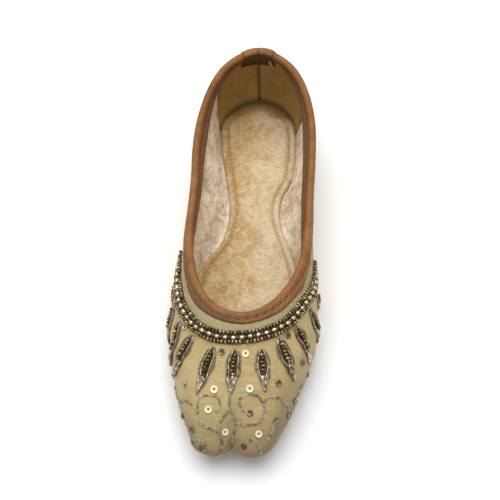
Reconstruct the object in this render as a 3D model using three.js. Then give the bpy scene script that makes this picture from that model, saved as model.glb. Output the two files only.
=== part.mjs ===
// A left mojari (jutti): a soft slip-on shoe of raw silk over leather, on a thin leather sole.
// Millimetres. +Z is up, +Y points to the heel, -Y to the toe, +X to the outer (lateral) side.
// The origin is under the middle of the shoe's box, on the ground.

import * as THREE from 'three';
import { mergeVertices } from 'three/addons/utils/BufferGeometryUtils.js';

// ---- Driving dimensions -------------------------------------------------------------------------

const WALL = 2.4;              // upper: silk cover, leather and velvet lining together
const GAP = 0.3;               // clearance between pieces that meet
const SOLE_THICK = 3.4;        // leather outsole
const SOLE_INSET = 0.5;        // the outsole stays this far inside the upper's lower edge
const HEEL_LIFT_FRONT = 68;    // y where the heel lift's front edge lies
const HEEL_LIFT_INSET = 1.2;   // the lift stays this far inside the outsole
const HEEL_LIFT_HOLLOW = 6;    // its front edge's control point lies this far behind the corners
const HEEL_LIFT_MARGIN = 1;    // the round of the lift starts this far behind its front edge
const SOCK_THICK = 3.0;        // insole at its edge
const SOCK_CROWN = 1.4;        // how much its middle stands higher
const SOCK_EDGE = 1.2;         // rounding of the insole's upper edge
const SOCK_CLEAR = 0.6;        // clearance between the insole's edge and the upper
const MIDDLE_X = 1;            // sole and sock: x of their middle line
const END_RADIUS = 17;         // and how far it stops short of each end
const LEATHER = 1.0;           // binding and tab leather
const FLANGE_OUT = 3.6;        // how far the binding reaches down outside the collar edge
const FLANGE_IN = 5.4;         // and inside
const TAB_OUT = 9;             // heel tab, down the back outside
const TAB_IN = 10.5;           // and inside
const TAB_LINES = 2;           // section lines that the tab covers on each side of the back seam
const SIDE_LINES = 48;         // section lines from heel to toe on one side
const TOE_GRADING = 1.35;      // above 1 crowds the lines towards the toe
const FRONT_STEPS = 8;         // facets of the heel lift's front edge
const UPPER_ROWS = 13;         // rows of facets from lower edge to collar
const LENGTH_STEPS = 120;      // steps by which a section line's length is measured
const WELD = 0.001;            // points closer than this are one
const ROW_GRADING = 1.45;      // above 1 crowds the rows towards the lower edge

// The dent between the toe's two lobes: its middle, half-width and depth, the y over which it deepens,
// and the slope it goes in by (0 is level, 1 straight into the face).
const CLEFT = { x: 0.6, width: 6.5, deep: 5, from: -100, to: -121, slope: 0.4 };

// Underside of the outsole, from heel to toe: y, and height over the ground.
const SOLE_LINE = [
  { y: 118, z: 6.0 },
  { y: 64, z: 6.0 },     // end of the flat heel seat
  { y: 38, z: 5.0 },
  { y: 10, z: 1.8 },
  { y: -14, z: 0 },      // the forefoot stands flat from here
  { y: -74, z: 0 },      // to here, where the toe spring starts
  { y: -96, z: 1.5 },
  { y: -112, z: 4.2 },
  { y: -126, z: 7.5 },
];

// The last's guide rings, lower edge first: where each one crosses the heel's and the toe's middle.
const RINGS = {
  feather: { heel: 115, toe: -124.2 },
  bulge: { heel: 120, toe: -127.6 },
  shoulder: { heel: 120.8, toe: -120 },
  instep: { heel: 119.8, toe: -92 },
  collar: { heel: 117.2, toe: -57.7 },
};

// Sections from heel to toe. `at` is the share of each ring's length. Each cell is the ring's
// half-width on the medial and the lateral side and its height over the ground; the feather's
// height is the top of the sole.
const SECTIONS = [
  {
    at: 0,
    feather: [0, 0],
    bulge: [0, 0, 23],
    shoulder: [0, 0, 35],
    instep: [0, 0, 46],
    collar: [0, 0, 55.8],
  },
  {
    at: 0.05,
    feather: [22, 21],
    bulge: [23.5, 23, 23],
    shoulder: [23.5, 23.5, 34.7],
    instep: [22, 22, 45.4],
    collar: [18.5, 18.5, 55.2],
  },
  {
    at: 0.1,
    feather: [26, 24.8],
    bulge: [28.3, 28, 22.8],
    shoulder: [29.5, 29.5, 33.8],
    instep: [28, 28, 43.8],
    collar: [25.2, 25.2, 53.4],
  },
  {
    at: 0.25,
    feather: [22, 24.3],
    bulge: [27, 29.5, 20.5],
    shoulder: [31.5, 32.5, 29.5],
    instep: [33, 34, 38.3],
    collar: [33.8, 34.1, 46.4],
  },
  {
    at: 0.36,
    feather: [18.3, 22.3],
    bulge: [25, 28.8, 18.5],
    shoulder: [31, 32.8, 27.5],
    instep: [33.5, 34.8, 35.5],
    collar: [35.3, 35.5, 43.4],
  },
  {
    at: 0.48,
    feather: [26.3, 29.7],
    bulge: [32, 34.8, 16.6],
    shoulder: [33.4, 35.6, 26.8],
    instep: [33.8, 35.4, 35],
    collar: [34.4, 35.7, 42.4],
  },
  {
    at: 0.6,
    feather: [35, 37],
    bulge: [39.2, 40.8, 15.3],
    shoulder: [37.8, 39.4, 27.5],
    instep: [35.4, 36.8, 35.6],
    collar: [34.2, 35.6, 42.2],
  },
  {
    at: 0.7,
    feather: [37.2, 39],
    bulge: [41, 42.8, 15],
    shoulder: [37.3, 38.9, 29],
    instep: [34.2, 35.9, 37],
    collar: [33.8, 35.3, 42.5],
  },
  {
    at: 0.8,
    feather: [34.7, 36.2],
    bulge: [36.8, 37.6, 15],
    shoulder: [32.8, 34.4, 29.5],
    instep: [29.5, 31.3, 38.3],
    collar: [31.2, 32.6, 43.3],
  },
  {
    at: 0.9,
    feather: [27.2, 27.6],
    bulge: [29.4, 29.7, 15],
    shoulder: [25.5, 25.8, 28],
    instep: [21, 22.4, 38.6],
    collar: [25.2, 25, 45],
  },
  {
    at: 0.96,
    feather: [21.2, 21],
    bulge: [23, 22.8, 14.9],
    shoulder: [20, 20.7, 25.6],
    instep: [13.6, 14.4, 37.4],
    collar: [17.4, 16.6, 46.2],
  },
  {
    at: 0.985,
    feather: [16.9, 15.4],
    bulge: [18.5, 17, 14.7],
    shoulder: [14, 13.4, 23.8],
    instep: [8.3, 8.8, 36.2],
    collar: [11.3, 10.2, 46.7],
  },
  {
    at: 1,
    feather: [0, 0],
    bulge: [0, 0, 14.5],
    shoulder: [0, 0, 22.5],
    instep: [0, 0, 35.4],
    collar: [0, 0, 46.8],
  },
];

// Loops of the sole's and the sock's faces, as shares of the way from the middle line to the edge.
const SOLE_SHARES = [0, 0.55, 1];
const SOCK_SHARES = [0.94, 0.7, 0.4, 0];

const FOLD_ANGLES = [0, 45, 90, 135, 180];  // a folded strap's round, in degrees from outside to inside

const COLOURS = {
  outsole: { color: 0x9a6d44, roughness: 0.7, metalness: 0 },
  heel_lift: { color: 0x7b5434, roughness: 0.65, metalness: 0 },
  insole: { color: 0xd9bb8c, roughness: 0.75, metalness: 0 },
  upper: { color: 0xc9b183, roughness: 0.6, metalness: 0 },
  collar_binding: { color: 0xa8693f, roughness: 0.5, metalness: 0 },
  heel_tab: { color: 0xa5673d, roughness: 0.5, metalness: 0 },
};

// ---- Curves -------------------------------------------------------------------------------------

// A curve through a table's points that never overshoots them (monotone cubic).
function monotone(xs, ys) {
  const steps = xs.slice(1).map((x, i) => x - xs[i]);
  const slopes = steps.map((h, i) => (ys[i + 1] - ys[i]) / h);
  const tangents = xs.map((_, i) => {
    if (i === 0) return slopes[0];
    if (i === xs.length - 1) return slopes[i - 1];
    const before = slopes[i - 1];
    const after = slopes[i];
    if (before * after <= 0) return 0;
    const wb = 2 * steps[i] + steps[i - 1];
    const wa = steps[i] + 2 * steps[i - 1];
    return (wb + wa) / (wb / before + wa / after);
  });
  return (x) => {
    const k = Math.max(0, xs.slice(0, -1).filter((v) => v < x).length - 1);
    const h = steps[k];
    const s = (x - xs[k]) / h;
    const a = (1 + 2 * s) * (1 - s) ** 2 * ys[k] + s * (1 - s) ** 2 * h * tangents[k];
    const b = s * s * (3 - 2 * s) * ys[k + 1] - s * s * (1 - s) * h * tangents[k + 1];
    return a + b;
  };
}

// A curve through a table's points with no jump in its bend (natural cubic spline).
function spline(xs, ys) {
  const last = xs.length - 1;
  const bend = xs.map(() => 0);
  const carry = xs.map(() => 0);
  for (let i = 1; i < last; i += 1) {
    const before = xs[i] - xs[i - 1];
    const after = xs[i + 1] - xs[i];
    const turn = 6 * ((ys[i + 1] - ys[i]) / after - (ys[i] - ys[i - 1]) / before);
    const pivot = 2 * (before + after) - before * carry[i - 1];
    carry[i] = after / pivot;
    bend[i] = (turn - before * bend[i - 1]) / pivot;
  }
  for (let i = last - 1; i > 0; i -= 1) bend[i] -= carry[i] * bend[i + 1];
  return (x) => {
    const k = Math.max(0, xs.filter((v) => v < x).length - 1);
    const h = xs[k + 1] - xs[k];
    const a = (xs[k + 1] - x) / h;
    const b = (x - xs[k]) / h;
    return a * ys[k] + b * ys[k + 1] + ((a ** 3 - a) * bend[k] + (b ** 3 - b) * bend[k + 1]) * h * h / 6;
  };
}

// A smooth curve through a few points (centripetal Catmull-Rom), with its points by length.
function sectionCurve(points) {
  const curve = new THREE.CatmullRomCurve3(points, false, 'centripetal');
  curve.arcLengthDivisions = LENGTH_STEPS;
  return curve;
}

function smoothstep(from, to, v) {
  const s = Math.min(1, Math.max(0, (v - from) / (to - from)));
  return s * s * (3 - 2 * s);
}

const solePoints = [...SOLE_LINE].reverse();
const soleUnder = monotone(solePoints.map((p) => p.y), solePoints.map((p) => p.z));
const soleTop = (y) => soleUnder(y) + SOLE_THICK;

// ---- The last -----------------------------------------------------------------------------------

// One guide ring: its point at a share of its length, on the medial (-1) or lateral (+1) side.
function guideRing(name) {
  const rows = SECTIONS.map((row) => ({ at: row.at, cell: row[name] }));
  const ats = rows.map((row) => row.at);
  const squared = (i) => spline(ats, rows.map((row) => row.cell[i] ** 2));
  const wide = { '-1': squared(0), 1: squared(1) };
  const high = name === 'feather' ? null : spline(ats, rows.map((row) => row.cell[2]));
  const { heel, toe } = RINGS[name];
  return (at, side) => {
    const y = heel + (toe - heel) * at;
    const z = high ? high(at) : soleTop(y) + GAP;
    return new THREE.Vector3(side * Math.sqrt(Math.max(0, wide[side](at))), y, z);
  };
}

const guideRings = Object.keys(RINGS).map(guideRing);

// The section lines, once round the foot: heel middle, medial side, toe middle, lateral side.
const LINES = [];
for (let i = 0; i < 2 * SIDE_LINES; i += 1) {
  const side = i <= SIDE_LINES ? -1 : 1;
  const along = (side < 0 ? i : 2 * SIDE_LINES - i) / SIDE_LINES;
  const turn = 1 - (1 - along) ** TOE_GRADING;
  LINES.push({ side, at: (1 - Math.cos(Math.PI * turn)) / 2 });
}

const sections = LINES.map(({ side, at }) => sectionCurve(guideRings.map((ring) => ring(at, side))));

// The dent between the toe's two lobes: how deep it is at a point.
function cleftDepth(p) {
  const across = Math.exp(-(((p.x - CLEFT.x) / CLEFT.width) ** 2));
  return CLEFT.deep * across * smoothstep(CLEFT.from, CLEFT.to, p.y);
}

// Outward normals of a grid of points, rows from lower edge to collar, columns round the foot.
function gridNormals(grid) {
  return grid.map((row, r) => row.map((_, c) => {
    const next = row[(c + 1) % row.length];
    const last = row[(c + row.length - 1) % row.length];
    const up = grid[Math.min(r + 1, grid.length - 1)][c];
    const down = grid[Math.max(r - 1, 0)][c];
    const rising = new THREE.Vector3().subVectors(up, down);
    return new THREE.Vector3().subVectors(next, last).cross(rising).normalize();
  }));
}

// The upper's outer face at chosen places up each section line, with its normals.
// place(length) gives the share of the line's length.
function faceRows(places) {
  const plain = places.map((place) => sections.map((s) => s.getPointAt(place(s.getLength()))));
  const outward = gridNormals(plain);
  const points = plain.map((row, r) => row.map((p, c) => {
    const dent = outward[r][c].clone();
    dent.setZ(Math.max(0, dent.z) * CLEFT.slope).normalize();
    return p.clone().addScaledVector(dent, -cleftDepth(p));
  }));
  return { points, normals: gridNormals(points) };
}

const outer = faceRows(
  Array.from({ length: UPPER_ROWS + 1 }, (_, r) => () => (r / UPPER_ROWS) ** ROW_GRADING),
);
outer.points[0].forEach((p) => p.setZ(soleTop(p.y) + GAP));

// The inner face lies a wall's thickness inside. At the lower edge it is moved level, so that the
// edge stands flat on the sole.
const inner = outer.points.map((row, r) => row.map((p, c) => {
  const outward = outer.normals[r][c].clone();
  if (r === 0) outward.setZ(0).normalize();
  return p.clone().addScaledVector(outward, -WALL);
}));

// ---- Mesh building ------------------------------------------------------------------------------

// One closed surface from quads of points; collapsed triangles are dropped.
function closedGeometry(quads) {
  const triangles = quads.flatMap(([a, b, c, d]) => [a, b, c, a, c, d]);
  const flat = new Float32Array(triangles.flatMap((p) => [p.x, p.y, p.z]));
  const loose = new THREE.BufferGeometry().setAttribute('position', new THREE.BufferAttribute(flat, 3));
  const merged = mergeVertices(loose, WELD);
  const index = [];
  for (let i = 0; i < merged.index.count; i += 3) {
    const [a, b, c] = [0, 1, 2].map((k) => merged.index.getX(i + k));
    if (a !== b && b !== c && c !== a) index.push(a, b, c);
  }
  merged.setIndex(index);
  merged.computeVertexNormals();
  return merged;
}

// Quads between successive closed loops of points.
function loopQuads(loops, joinEnds = false) {
  const count = joinEnds ? loops.length : loops.length - 1;
  const quads = [];
  for (let r = 0; r < count; r += 1) {
    const lower = loops[r];
    const upper = loops[(r + 1) % loops.length];
    lower.forEach((p, c) => {
      const n = (c + 1) % lower.length;
      quads.push([p, lower[n], upper[n], upper[c]]);
    });
  }
  return quads;
}

// A strip with thickness: each section has an outer and an inner chain of as many points.
function stripQuads(strip, joinEnds) {
  const chains = strip.map((s) => [...s.outer, ...[...s.inner].reverse()]);
  const quads = [];
  const count = joinEnds ? chains.length : chains.length - 1;
  for (let i = 0; i < count; i += 1) {
    const here = chains[i];
    const next = chains[(i + 1) % chains.length];
    here.forEach((p, k) => {
      const m = (k + 1) % here.length;
      quads.push([p, next[k], next[m], here[m]]);
    });
  }
  if (joinEnds) return quads;
  const [first, last] = [strip[0], strip[strip.length - 1]];
  for (let k = 0; k < first.outer.length - 1; k += 1) {
    quads.push([first.outer[k], first.outer[k + 1], first.inner[k + 1], first.inner[k]]);
    quads.push([last.outer[k], last.inner[k], last.inner[k + 1], last.outer[k + 1]]);
  }
  return quads;
}

function part(name, geometry) {
  const mesh = new THREE.Mesh(geometry, new THREE.MeshStandardMaterial(COLOURS[name]));
  mesh.name = name;
  return mesh;
}

// ---- Sub-parts ----------------------------------------------------------------------------------

function upper() {
  return part('upper', closedGeometry(loopQuads([...outer.points, ...[...inner].reverse()], true)));
}

// The outline of a layer under the upper: an edge row moved level along its plan normal.
function levelOutline(row, normals, move) {
  return row.map((p, c) => {
    const sideways = normals[c].clone().setZ(0).normalize();
    return p.clone().addScaledVector(sideways, move);
  });
}

// A loop drawn in towards the shoe's long middle line, which stops short of both ends, with its
// heights given by z(point, share).
function drawnIn(outline, share, z) {
  const ys = outline.map((p) => p.y);
  const [toeStop, heelStop] = [Math.min(...ys) + END_RADIUS, Math.max(...ys) - END_RADIUS];
  return outline.map((p, i) => {
    const mirror = outline[(outline.length - i) % outline.length];
    const level = (p.y + mirror.y) / 2;
    const middle = new THREE.Vector3(MIDDLE_X, THREE.MathUtils.clamp(level, toeStop, heelStop), 0);
    const q = middle.lerp(p, share);
    return q.setZ(z(q, share));
  });
}

function outsole() {
  const edge = levelOutline(outer.points[0], outer.normals[0], -SOLE_INSET);
  const under = (q) => soleUnder(q.y);
  const top = (q) => soleTop(q.y);
  const loops = [
    ...SOLE_SHARES.map((share) => drawnIn(edge, share, under)),
    ...[...SOLE_SHARES].reverse().map((share) => drawnIn(edge, share, top)),
  ];
  return part('outsole', closedGeometry(loopQuads(loops)));
}

function heelLift() {
  const edge = levelOutline(outer.points[0], outer.normals[0], -SOLE_INSET - HEEL_LIFT_INSET);
  const behind = (list) => list.filter((p) => p.y > HEEL_LIFT_FRONT + HEEL_LIFT_MARGIN);
  const medial = behind(edge.slice(0, SIDE_LINES));
  const lateral = behind(edge.slice(SIDE_LINES));
  const round = [...lateral, ...medial];
  const [start, end] = [round[0], round[round.length - 1]];
  const shape = new THREE.Shape();
  shape.moveTo(start.x, start.y);
  round.slice(1).forEach((p) => shape.lineTo(p.x, p.y));
  shape.quadraticCurveTo((start.x + end.x) / 2, HEEL_LIFT_FRONT + HEEL_LIFT_HOLLOW, start.x, start.y);
  const options = { depth: SOLE_LINE[0].z - GAP, bevelEnabled: false, curveSegments: FRONT_STEPS };
  return part('heel_lift', new THREE.ExtrudeGeometry(shape, options));
}

function insole() {
  const edge = levelOutline(inner[0], outer.normals[0], -SOCK_CLEAR);
  const under = (q) => soleTop(q.y) + GAP;
  const top = (q, share) => under(q) + SOCK_THICK + SOCK_CROWN * (1 - share ** 2);
  const low = (q) => under(q) + SOCK_THICK - SOCK_EDGE;
  const loops = [
    ...[0, 1].map((share) => drawnIn(edge, share, under)),
    drawnIn(edge, 1, low),
    ...SOCK_SHARES.map((share) => drawnIn(edge, share, top)),
  ];
  return part('insole', closedGeometry(loopQuads(loops)));
}

// Sections of a strap folded over the collar edge. `near` is how far its inner face lies off the
// wall's two faces, and its feet reach down by `outside` and `inside`.
function foldedStrap(near, outside, inside) {
  const rowsBelowEdge = (...downs) => faceRows(downs.map((down) => (length) => 1 - down / length));
  const { points } = rowsBelowEdge(outside, inside, 0);
  const steps = rowsBelowEdge(outside, 1, 0);
  const lower = rowsBelowEdge(outside + 1, outside, outside - 1);
  const deeper = rowsBelowEdge(inside + 1, inside, inside - 1);
  return sections.map((_, c) => {
    const edge = points[2][c];
    const out = steps.normals[2][c];
    const up = new THREE.Vector3().subVectors(edge, steps.points[1][c]).normalize();
    const core = edge.clone().addScaledVector(out, -WALL / 2);
    const chain = (off) => {
      const radius = WALL / 2 + off;
      const arc = FOLD_ANGLES.map((deg) => {
        const a = THREE.MathUtils.degToRad(deg);
        return core.clone()
          .addScaledVector(out, radius * Math.cos(a))
          .addScaledVector(up, radius * Math.sin(a));
      });
      return [
        points[0][c].clone().addScaledVector(lower.normals[1][c], off),
        ...arc,
        points[1][c].clone().addScaledVector(deeper.normals[1][c], -WALL - off),
      ];
    };
    return { outer: chain(near + LEATHER), inner: chain(near) };
  });
}

function collarBinding() {
  const strap = foldedStrap(GAP, FLANGE_OUT, FLANGE_IN);
  return part('collar_binding', closedGeometry(stripQuads(strap, true)));
}

function heelTab() {
  const strap = foldedStrap(2 * GAP + LEATHER, TAB_OUT, TAB_IN);
  const back = [...strap.slice(-TAB_LINES), ...strap.slice(0, TAB_LINES + 1)];
  return part('heel_tab', closedGeometry(stripQuads(back, false)));
}

// ---- Assembly -----------------------------------------------------------------------------------

const shoe = new THREE.Group();
shoe.add(outsole(), heelLift(), insole(), upper(), collarBinding(), heelTab());

const box = new THREE.Box3().setFromObject(shoe);
const centre = box.getCenter(new THREE.Vector3());
shoe.position.set(-centre.x, -centre.y, -box.min.z);

const mojari = new THREE.Group();
mojari.add(shoe);

export default mojari;
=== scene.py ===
import math
import random

import bmesh
import bpy
import numpy as np
from mathutils import Matrix, Vector, noise
from mathutils.bvhtree import BVHTree


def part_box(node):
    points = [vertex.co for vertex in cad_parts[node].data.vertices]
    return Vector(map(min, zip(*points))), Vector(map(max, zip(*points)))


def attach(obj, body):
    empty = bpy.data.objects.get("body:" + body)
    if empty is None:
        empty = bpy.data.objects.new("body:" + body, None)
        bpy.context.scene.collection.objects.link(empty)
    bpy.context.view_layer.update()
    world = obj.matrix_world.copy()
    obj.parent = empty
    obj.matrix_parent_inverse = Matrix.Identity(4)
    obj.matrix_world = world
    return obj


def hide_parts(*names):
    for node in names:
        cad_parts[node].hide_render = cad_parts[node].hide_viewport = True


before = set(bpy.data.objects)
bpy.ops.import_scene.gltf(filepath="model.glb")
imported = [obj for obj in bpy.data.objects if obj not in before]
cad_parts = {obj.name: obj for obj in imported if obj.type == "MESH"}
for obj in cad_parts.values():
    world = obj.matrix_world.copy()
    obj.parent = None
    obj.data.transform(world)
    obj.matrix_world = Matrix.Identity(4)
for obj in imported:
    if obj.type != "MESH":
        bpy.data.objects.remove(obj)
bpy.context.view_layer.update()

# A left mojari: raw silk over leather with metal embroidery, a rolled leather collar, velvet inside.
# Sizes are millimetres in the last's own frame: +Y to the heel, +X to the lateral side, +Z up.
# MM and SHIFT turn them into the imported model's metres.

MM = 0.001

# ---- Sizes of the construction ------------------------------------------------------------------

WALL = 2.4                     # silk, leather and velvet lining together
COVER = 1.25                   # of that, silk and leather; the rest is lining
GAP = 0.3                      # between pieces that meet
SOLE_THICK = 3.4
SOLE_INSET = 0.5               # the sole stays this far inside the cover's lower edge
HEEL_FRONT = 68                # y of the heel's front corners
HEEL_INSET = 1.2               # the heel stays this far inside the sole
MIDDLE_X = 1                   # the shoe's long middle line lies at this x
END_RADIUS = 17                # and stops this far from both ends
SIDE_LINES = 160               # section lines from heel to toe on one side
TOE_GRADING = 1.35             # above 1 they lie closer together at the toe
CAD_SIDE_LINES = 48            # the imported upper's own lines and rows
CAD_ROWS = 13
ROW_GRADING = 1.45
CLEFT = {"x": 0.6, "width": 6.5, "deep": 5, "from": -100, "to": -121, "slope": 0.4}

# Underside of the outsole, from toe to heel: y, and height over the ground.
SOLE_LINE = [
    (-126, 7.5), (-112, 4.2), (-96, 1.5), (-74, 0), (-14, 0), (10, 1.8), (38, 5.0), (64, 6.0), (118, 6.0),
]

# The last's guide rings, lower edge first: y where each crosses the heel's and the toe's middle.
RINGS = {
    "feather": (115, -124.2),
    "bulge": (120, -127.6),
    "shoulder": (120.8, -120),
    "instep": (119.8, -92),
    "collar": (117.2, -57.7),
}

# Sections from heel to toe: share of each ring's length, then for each ring its half-width on the
# medial and the lateral side and its height over the ground (the feather lies on the sole).
SECTIONS = [
    (0, (0, 0), (0, 0, 23), (0, 0, 35), (0, 0, 46), (0, 0, 55.8)),
    (0.05, (22, 21), (23.5, 23, 23), (23.5, 23.5, 34.7), (22, 22, 45.4), (18.5, 18.5, 55.2)),
    (0.1, (26, 24.8), (28.3, 28, 22.8), (29.5, 29.5, 33.8), (28, 28, 43.8), (25.2, 25.2, 53.4)),
    (0.25, (22, 24.3), (27, 29.5, 20.5), (31.5, 32.5, 29.5), (33, 34, 38.3), (33.8, 34.1, 46.4)),
    (0.36, (18.3, 22.3), (25, 28.8, 18.5), (31, 32.8, 27.5), (33.5, 34.8, 35.5), (35.3, 35.5, 43.4)),
    (0.48, (26.3, 29.7), (32, 34.8, 16.6), (33.4, 35.6, 26.8), (33.8, 35.4, 35), (34.4, 35.7, 42.4)),
    (0.6, (35, 37), (39.2, 40.8, 15.3), (37.8, 39.4, 27.5), (35.4, 36.8, 35.6), (34.2, 35.6, 42.2)),
    (0.7, (37.2, 39), (41, 42.8, 15), (37.3, 38.9, 29), (34.2, 35.9, 37), (33.8, 35.3, 42.5)),
    (0.8, (34.7, 36.2), (36.8, 37.6, 15), (32.8, 34.4, 29.5), (29.5, 31.3, 38.3), (31.2, 32.6, 43.3)),
    (0.9, (27.2, 27.6), (29.4, 29.7, 15), (25.5, 25.8, 28), (21, 22.4, 38.6), (25.2, 25, 45)),
    (0.96, (21.2, 21), (23, 22.8, 14.9), (20, 20.7, 25.6), (13.6, 14.4, 37.4), (17.4, 16.6, 46.2)),
    (0.985, (16.9, 15.4), (18.5, 17, 14.7), (14, 13.4, 23.8), (8.3, 8.8, 36.2), (11.3, 10.2, 46.7)),
    (1, (0, 0), (0, 0, 14.5), (0, 0, 22.5), (0, 0, 35.4), (0, 0, 46.8)),
]

# ---- Curves -------------------------------------------------------------------------------------


def monotone(points):
    """A curve through a table's points that never overshoots them."""
    xs, ys = np.array(points, float).T
    steps = np.diff(xs)
    slopes = np.diff(ys) / steps
    tangents = np.zeros(len(xs))
    tangents[0], tangents[-1] = slopes[0], slopes[-1]
    for i in range(1, len(xs) - 1):
        before, after = slopes[i - 1], slopes[i]
        if before * after > 0:
            wb = 2 * steps[i] + steps[i - 1]
            wa = steps[i] + 2 * steps[i - 1]
            tangents[i] = (wb + wa) / (wb / before + wa / after)

    def value(x):
        k = np.clip(np.searchsorted(xs, x) - 1, 0, len(steps) - 1)
        h = steps[k]
        s = (x - xs[k]) / h
        low = (1 + 2 * s) * (1 - s) ** 2 * ys[k] + s * (1 - s) ** 2 * h * tangents[k]
        return low + s * s * (3 - 2 * s) * ys[k + 1] - s * s * (1 - s) * h * tangents[k + 1]

    return value


def spline(xs, ys):
    """A curve through a table's points with no jump in its bend (natural cubic spline)."""
    xs, ys = np.array(xs, float), np.array(ys, float)
    steps = np.diff(xs)
    inner = np.diag(2 * (steps[:-1] + steps[1:])) + np.diag(steps[1:-1], 1) + np.diag(steps[1:-1], -1)
    bend = np.concatenate([[0], np.linalg.solve(inner, 6 * np.diff(np.diff(ys) / steps)), [0]])

    def value(x):
        k = np.clip(np.searchsorted(xs, x) - 1, 0, len(steps) - 1)
        h = steps[k]
        a = (xs[k + 1] - x) / h
        b = (x - xs[k]) / h
        cubic = (a ** 3 - a) * bend[k] + (b ** 3 - b) * bend[k + 1]
        return a * ys[k] + b * ys[k + 1] + cubic * h * h / 6

    return value


def smooth_curves(corners, steps=40):
    """Dense points on centripetal Catmull-Rom curves; corners is (curves, points, 3)."""
    first = 2 * corners[:, :1] - corners[:, 1:2]
    last = 2 * corners[:, -1:] - corners[:, -2:-1]
    padded = np.concatenate([first, corners, last], axis=1)
    spans = np.linalg.norm(np.diff(padded, axis=1), axis=2) ** 0.5
    share = (np.arange(steps) / steps)[None, :, None]
    runs = []
    for k in range(corners.shape[1] - 1):
        p0, p1, p2, p3 = (padded[:, k + j, None] for j in range(4))
        d0, d1, d2 = (spans[:, k + j, None, None] for j in range(3))
        t1 = ((p1 - p0) / d0 - (p2 - p0) / (d0 + d1) + (p2 - p1) / d1) * d1
        t2 = ((p2 - p1) / d1 - (p3 - p1) / (d1 + d2) + (p3 - p2) / d2) * d1
        square = 3 * (p2 - p1) - 2 * t1 - t2
        cube = 2 * (p1 - p2) + t1 + t2
        runs.append(p1 + t1 * share + square * share ** 2 + cube * share ** 3)
    return np.concatenate(runs + [corners[:, -1:]], axis=1)


def bent(start, middle, end, s):
    """Points at shares s of a curve from start to end, drawn towards middle."""
    return start * (1 - s) ** 2 + middle * 2 * s * (1 - s) + end * s * s


def closed(line):
    """A line that ends at its own first point."""
    return np.concatenate([line, line[:1]])


def run_length(points):
    """Length from the first point to each point of a polyline."""
    return np.concatenate([[0], np.cumsum(np.linalg.norm(np.diff(points, axis=0), axis=1))])


def resample(points, places):
    """Points of a polyline at these lengths from its start."""
    run = run_length(points[:, :3])
    return np.stack([np.interp(places, run, points[:, k]) for k in range(points.shape[1])], axis=1)


def evenly(points, count):
    """A polyline's points moved so that count of them lie evenly along it."""
    return resample(points, np.linspace(0, run_length(points[:, :3])[-1], count))


def smoothstep(start, end, v):
    s = np.clip((v - start) / (end - start), 0, 1)
    return s * s * (3 - 2 * s)


def hump(v, width):
    """1 where v is 0, falling to nothing past about twice the width."""
    return np.exp(-((v / width) ** 2))


def unit(v):
    return v / np.maximum(np.linalg.norm(v, axis=-1, keepdims=True), 1e-12)


def level(v):
    """Vectors laid flat, of unit length."""
    return unit(v * np.array([1, 1, 0]))


def wander(p, size, seed=0.0):
    """Smooth noise from -1 to 1 at points, with features of this size."""
    flat = p.reshape(-1, 3) / size + seed
    return np.array([noise.noise(Vector(q)) for q in flat]).reshape(p.shape[:-1])


def lumps(p, *waves):
    """Unevenness at points: a sum of smooth noises, each of this height, size and seed."""
    return sum(high * wander(p, size, seed) for high, size, seed in waves)


# ---- The last -----------------------------------------------------------------------------------

sole_under = monotone(SOLE_LINE)


def sole_top(y):
    return sole_under(y) + SOLE_THICK


def floor_height(y):
    """Height at which upper and sock stand on the sole."""
    return sole_top(y) + GAP


def ring_points(name, side, at):
    """Points of one guide ring, at shares of its length on the medial (-1) or lateral (+1) side."""
    column = list(RINGS).index(name) + 1
    ats = [row[0] for row in SECTIONS]
    widths = [spline(ats, [row[column][i] ** 2 for row in SECTIONS]) for i in (0, 1)]
    heel, toe = RINGS[name]
    squared = np.where(side < 0, widths[0](at), widths[1](at))
    y = heel + (toe - heel) * at
    z = floor_height(y) if name == "feather" else spline(ats, [row[column][2] for row in SECTIONS])(at)
    return np.stack([side * np.sqrt(np.maximum(0, squared)), y, z], axis=1)


def foot_lines(count):
    """Places of section lines round the foot: heel middle, medial side, toe middle, lateral side."""
    i = np.arange(2 * count)
    side = np.where(i <= count, -1, 1)
    along = np.where(i <= count, i, 2 * count - i) / count
    turn = 1 - (1 - along) ** TOE_GRADING
    return side, (1 - np.cos(np.pi * turn)) / 2


def grid_normals(grid, round_foot=True):
    """Outward normals of rows of points, rows from lower edge to collar, columns round the foot."""
    if round_foot:
        across = np.roll(grid, -1, axis=1) - np.roll(grid, 1, axis=1)
    else:
        across = np.gradient(grid, axis=1)
    return unit(np.cross(across, np.gradient(grid, axis=0)))


def cleft_depth(p):
    across = hump(p[..., 0] - CLEFT["x"], CLEFT["width"])
    return CLEFT["deep"] * across * smoothstep(CLEFT["from"], CLEFT["to"], p[..., 1])


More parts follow.
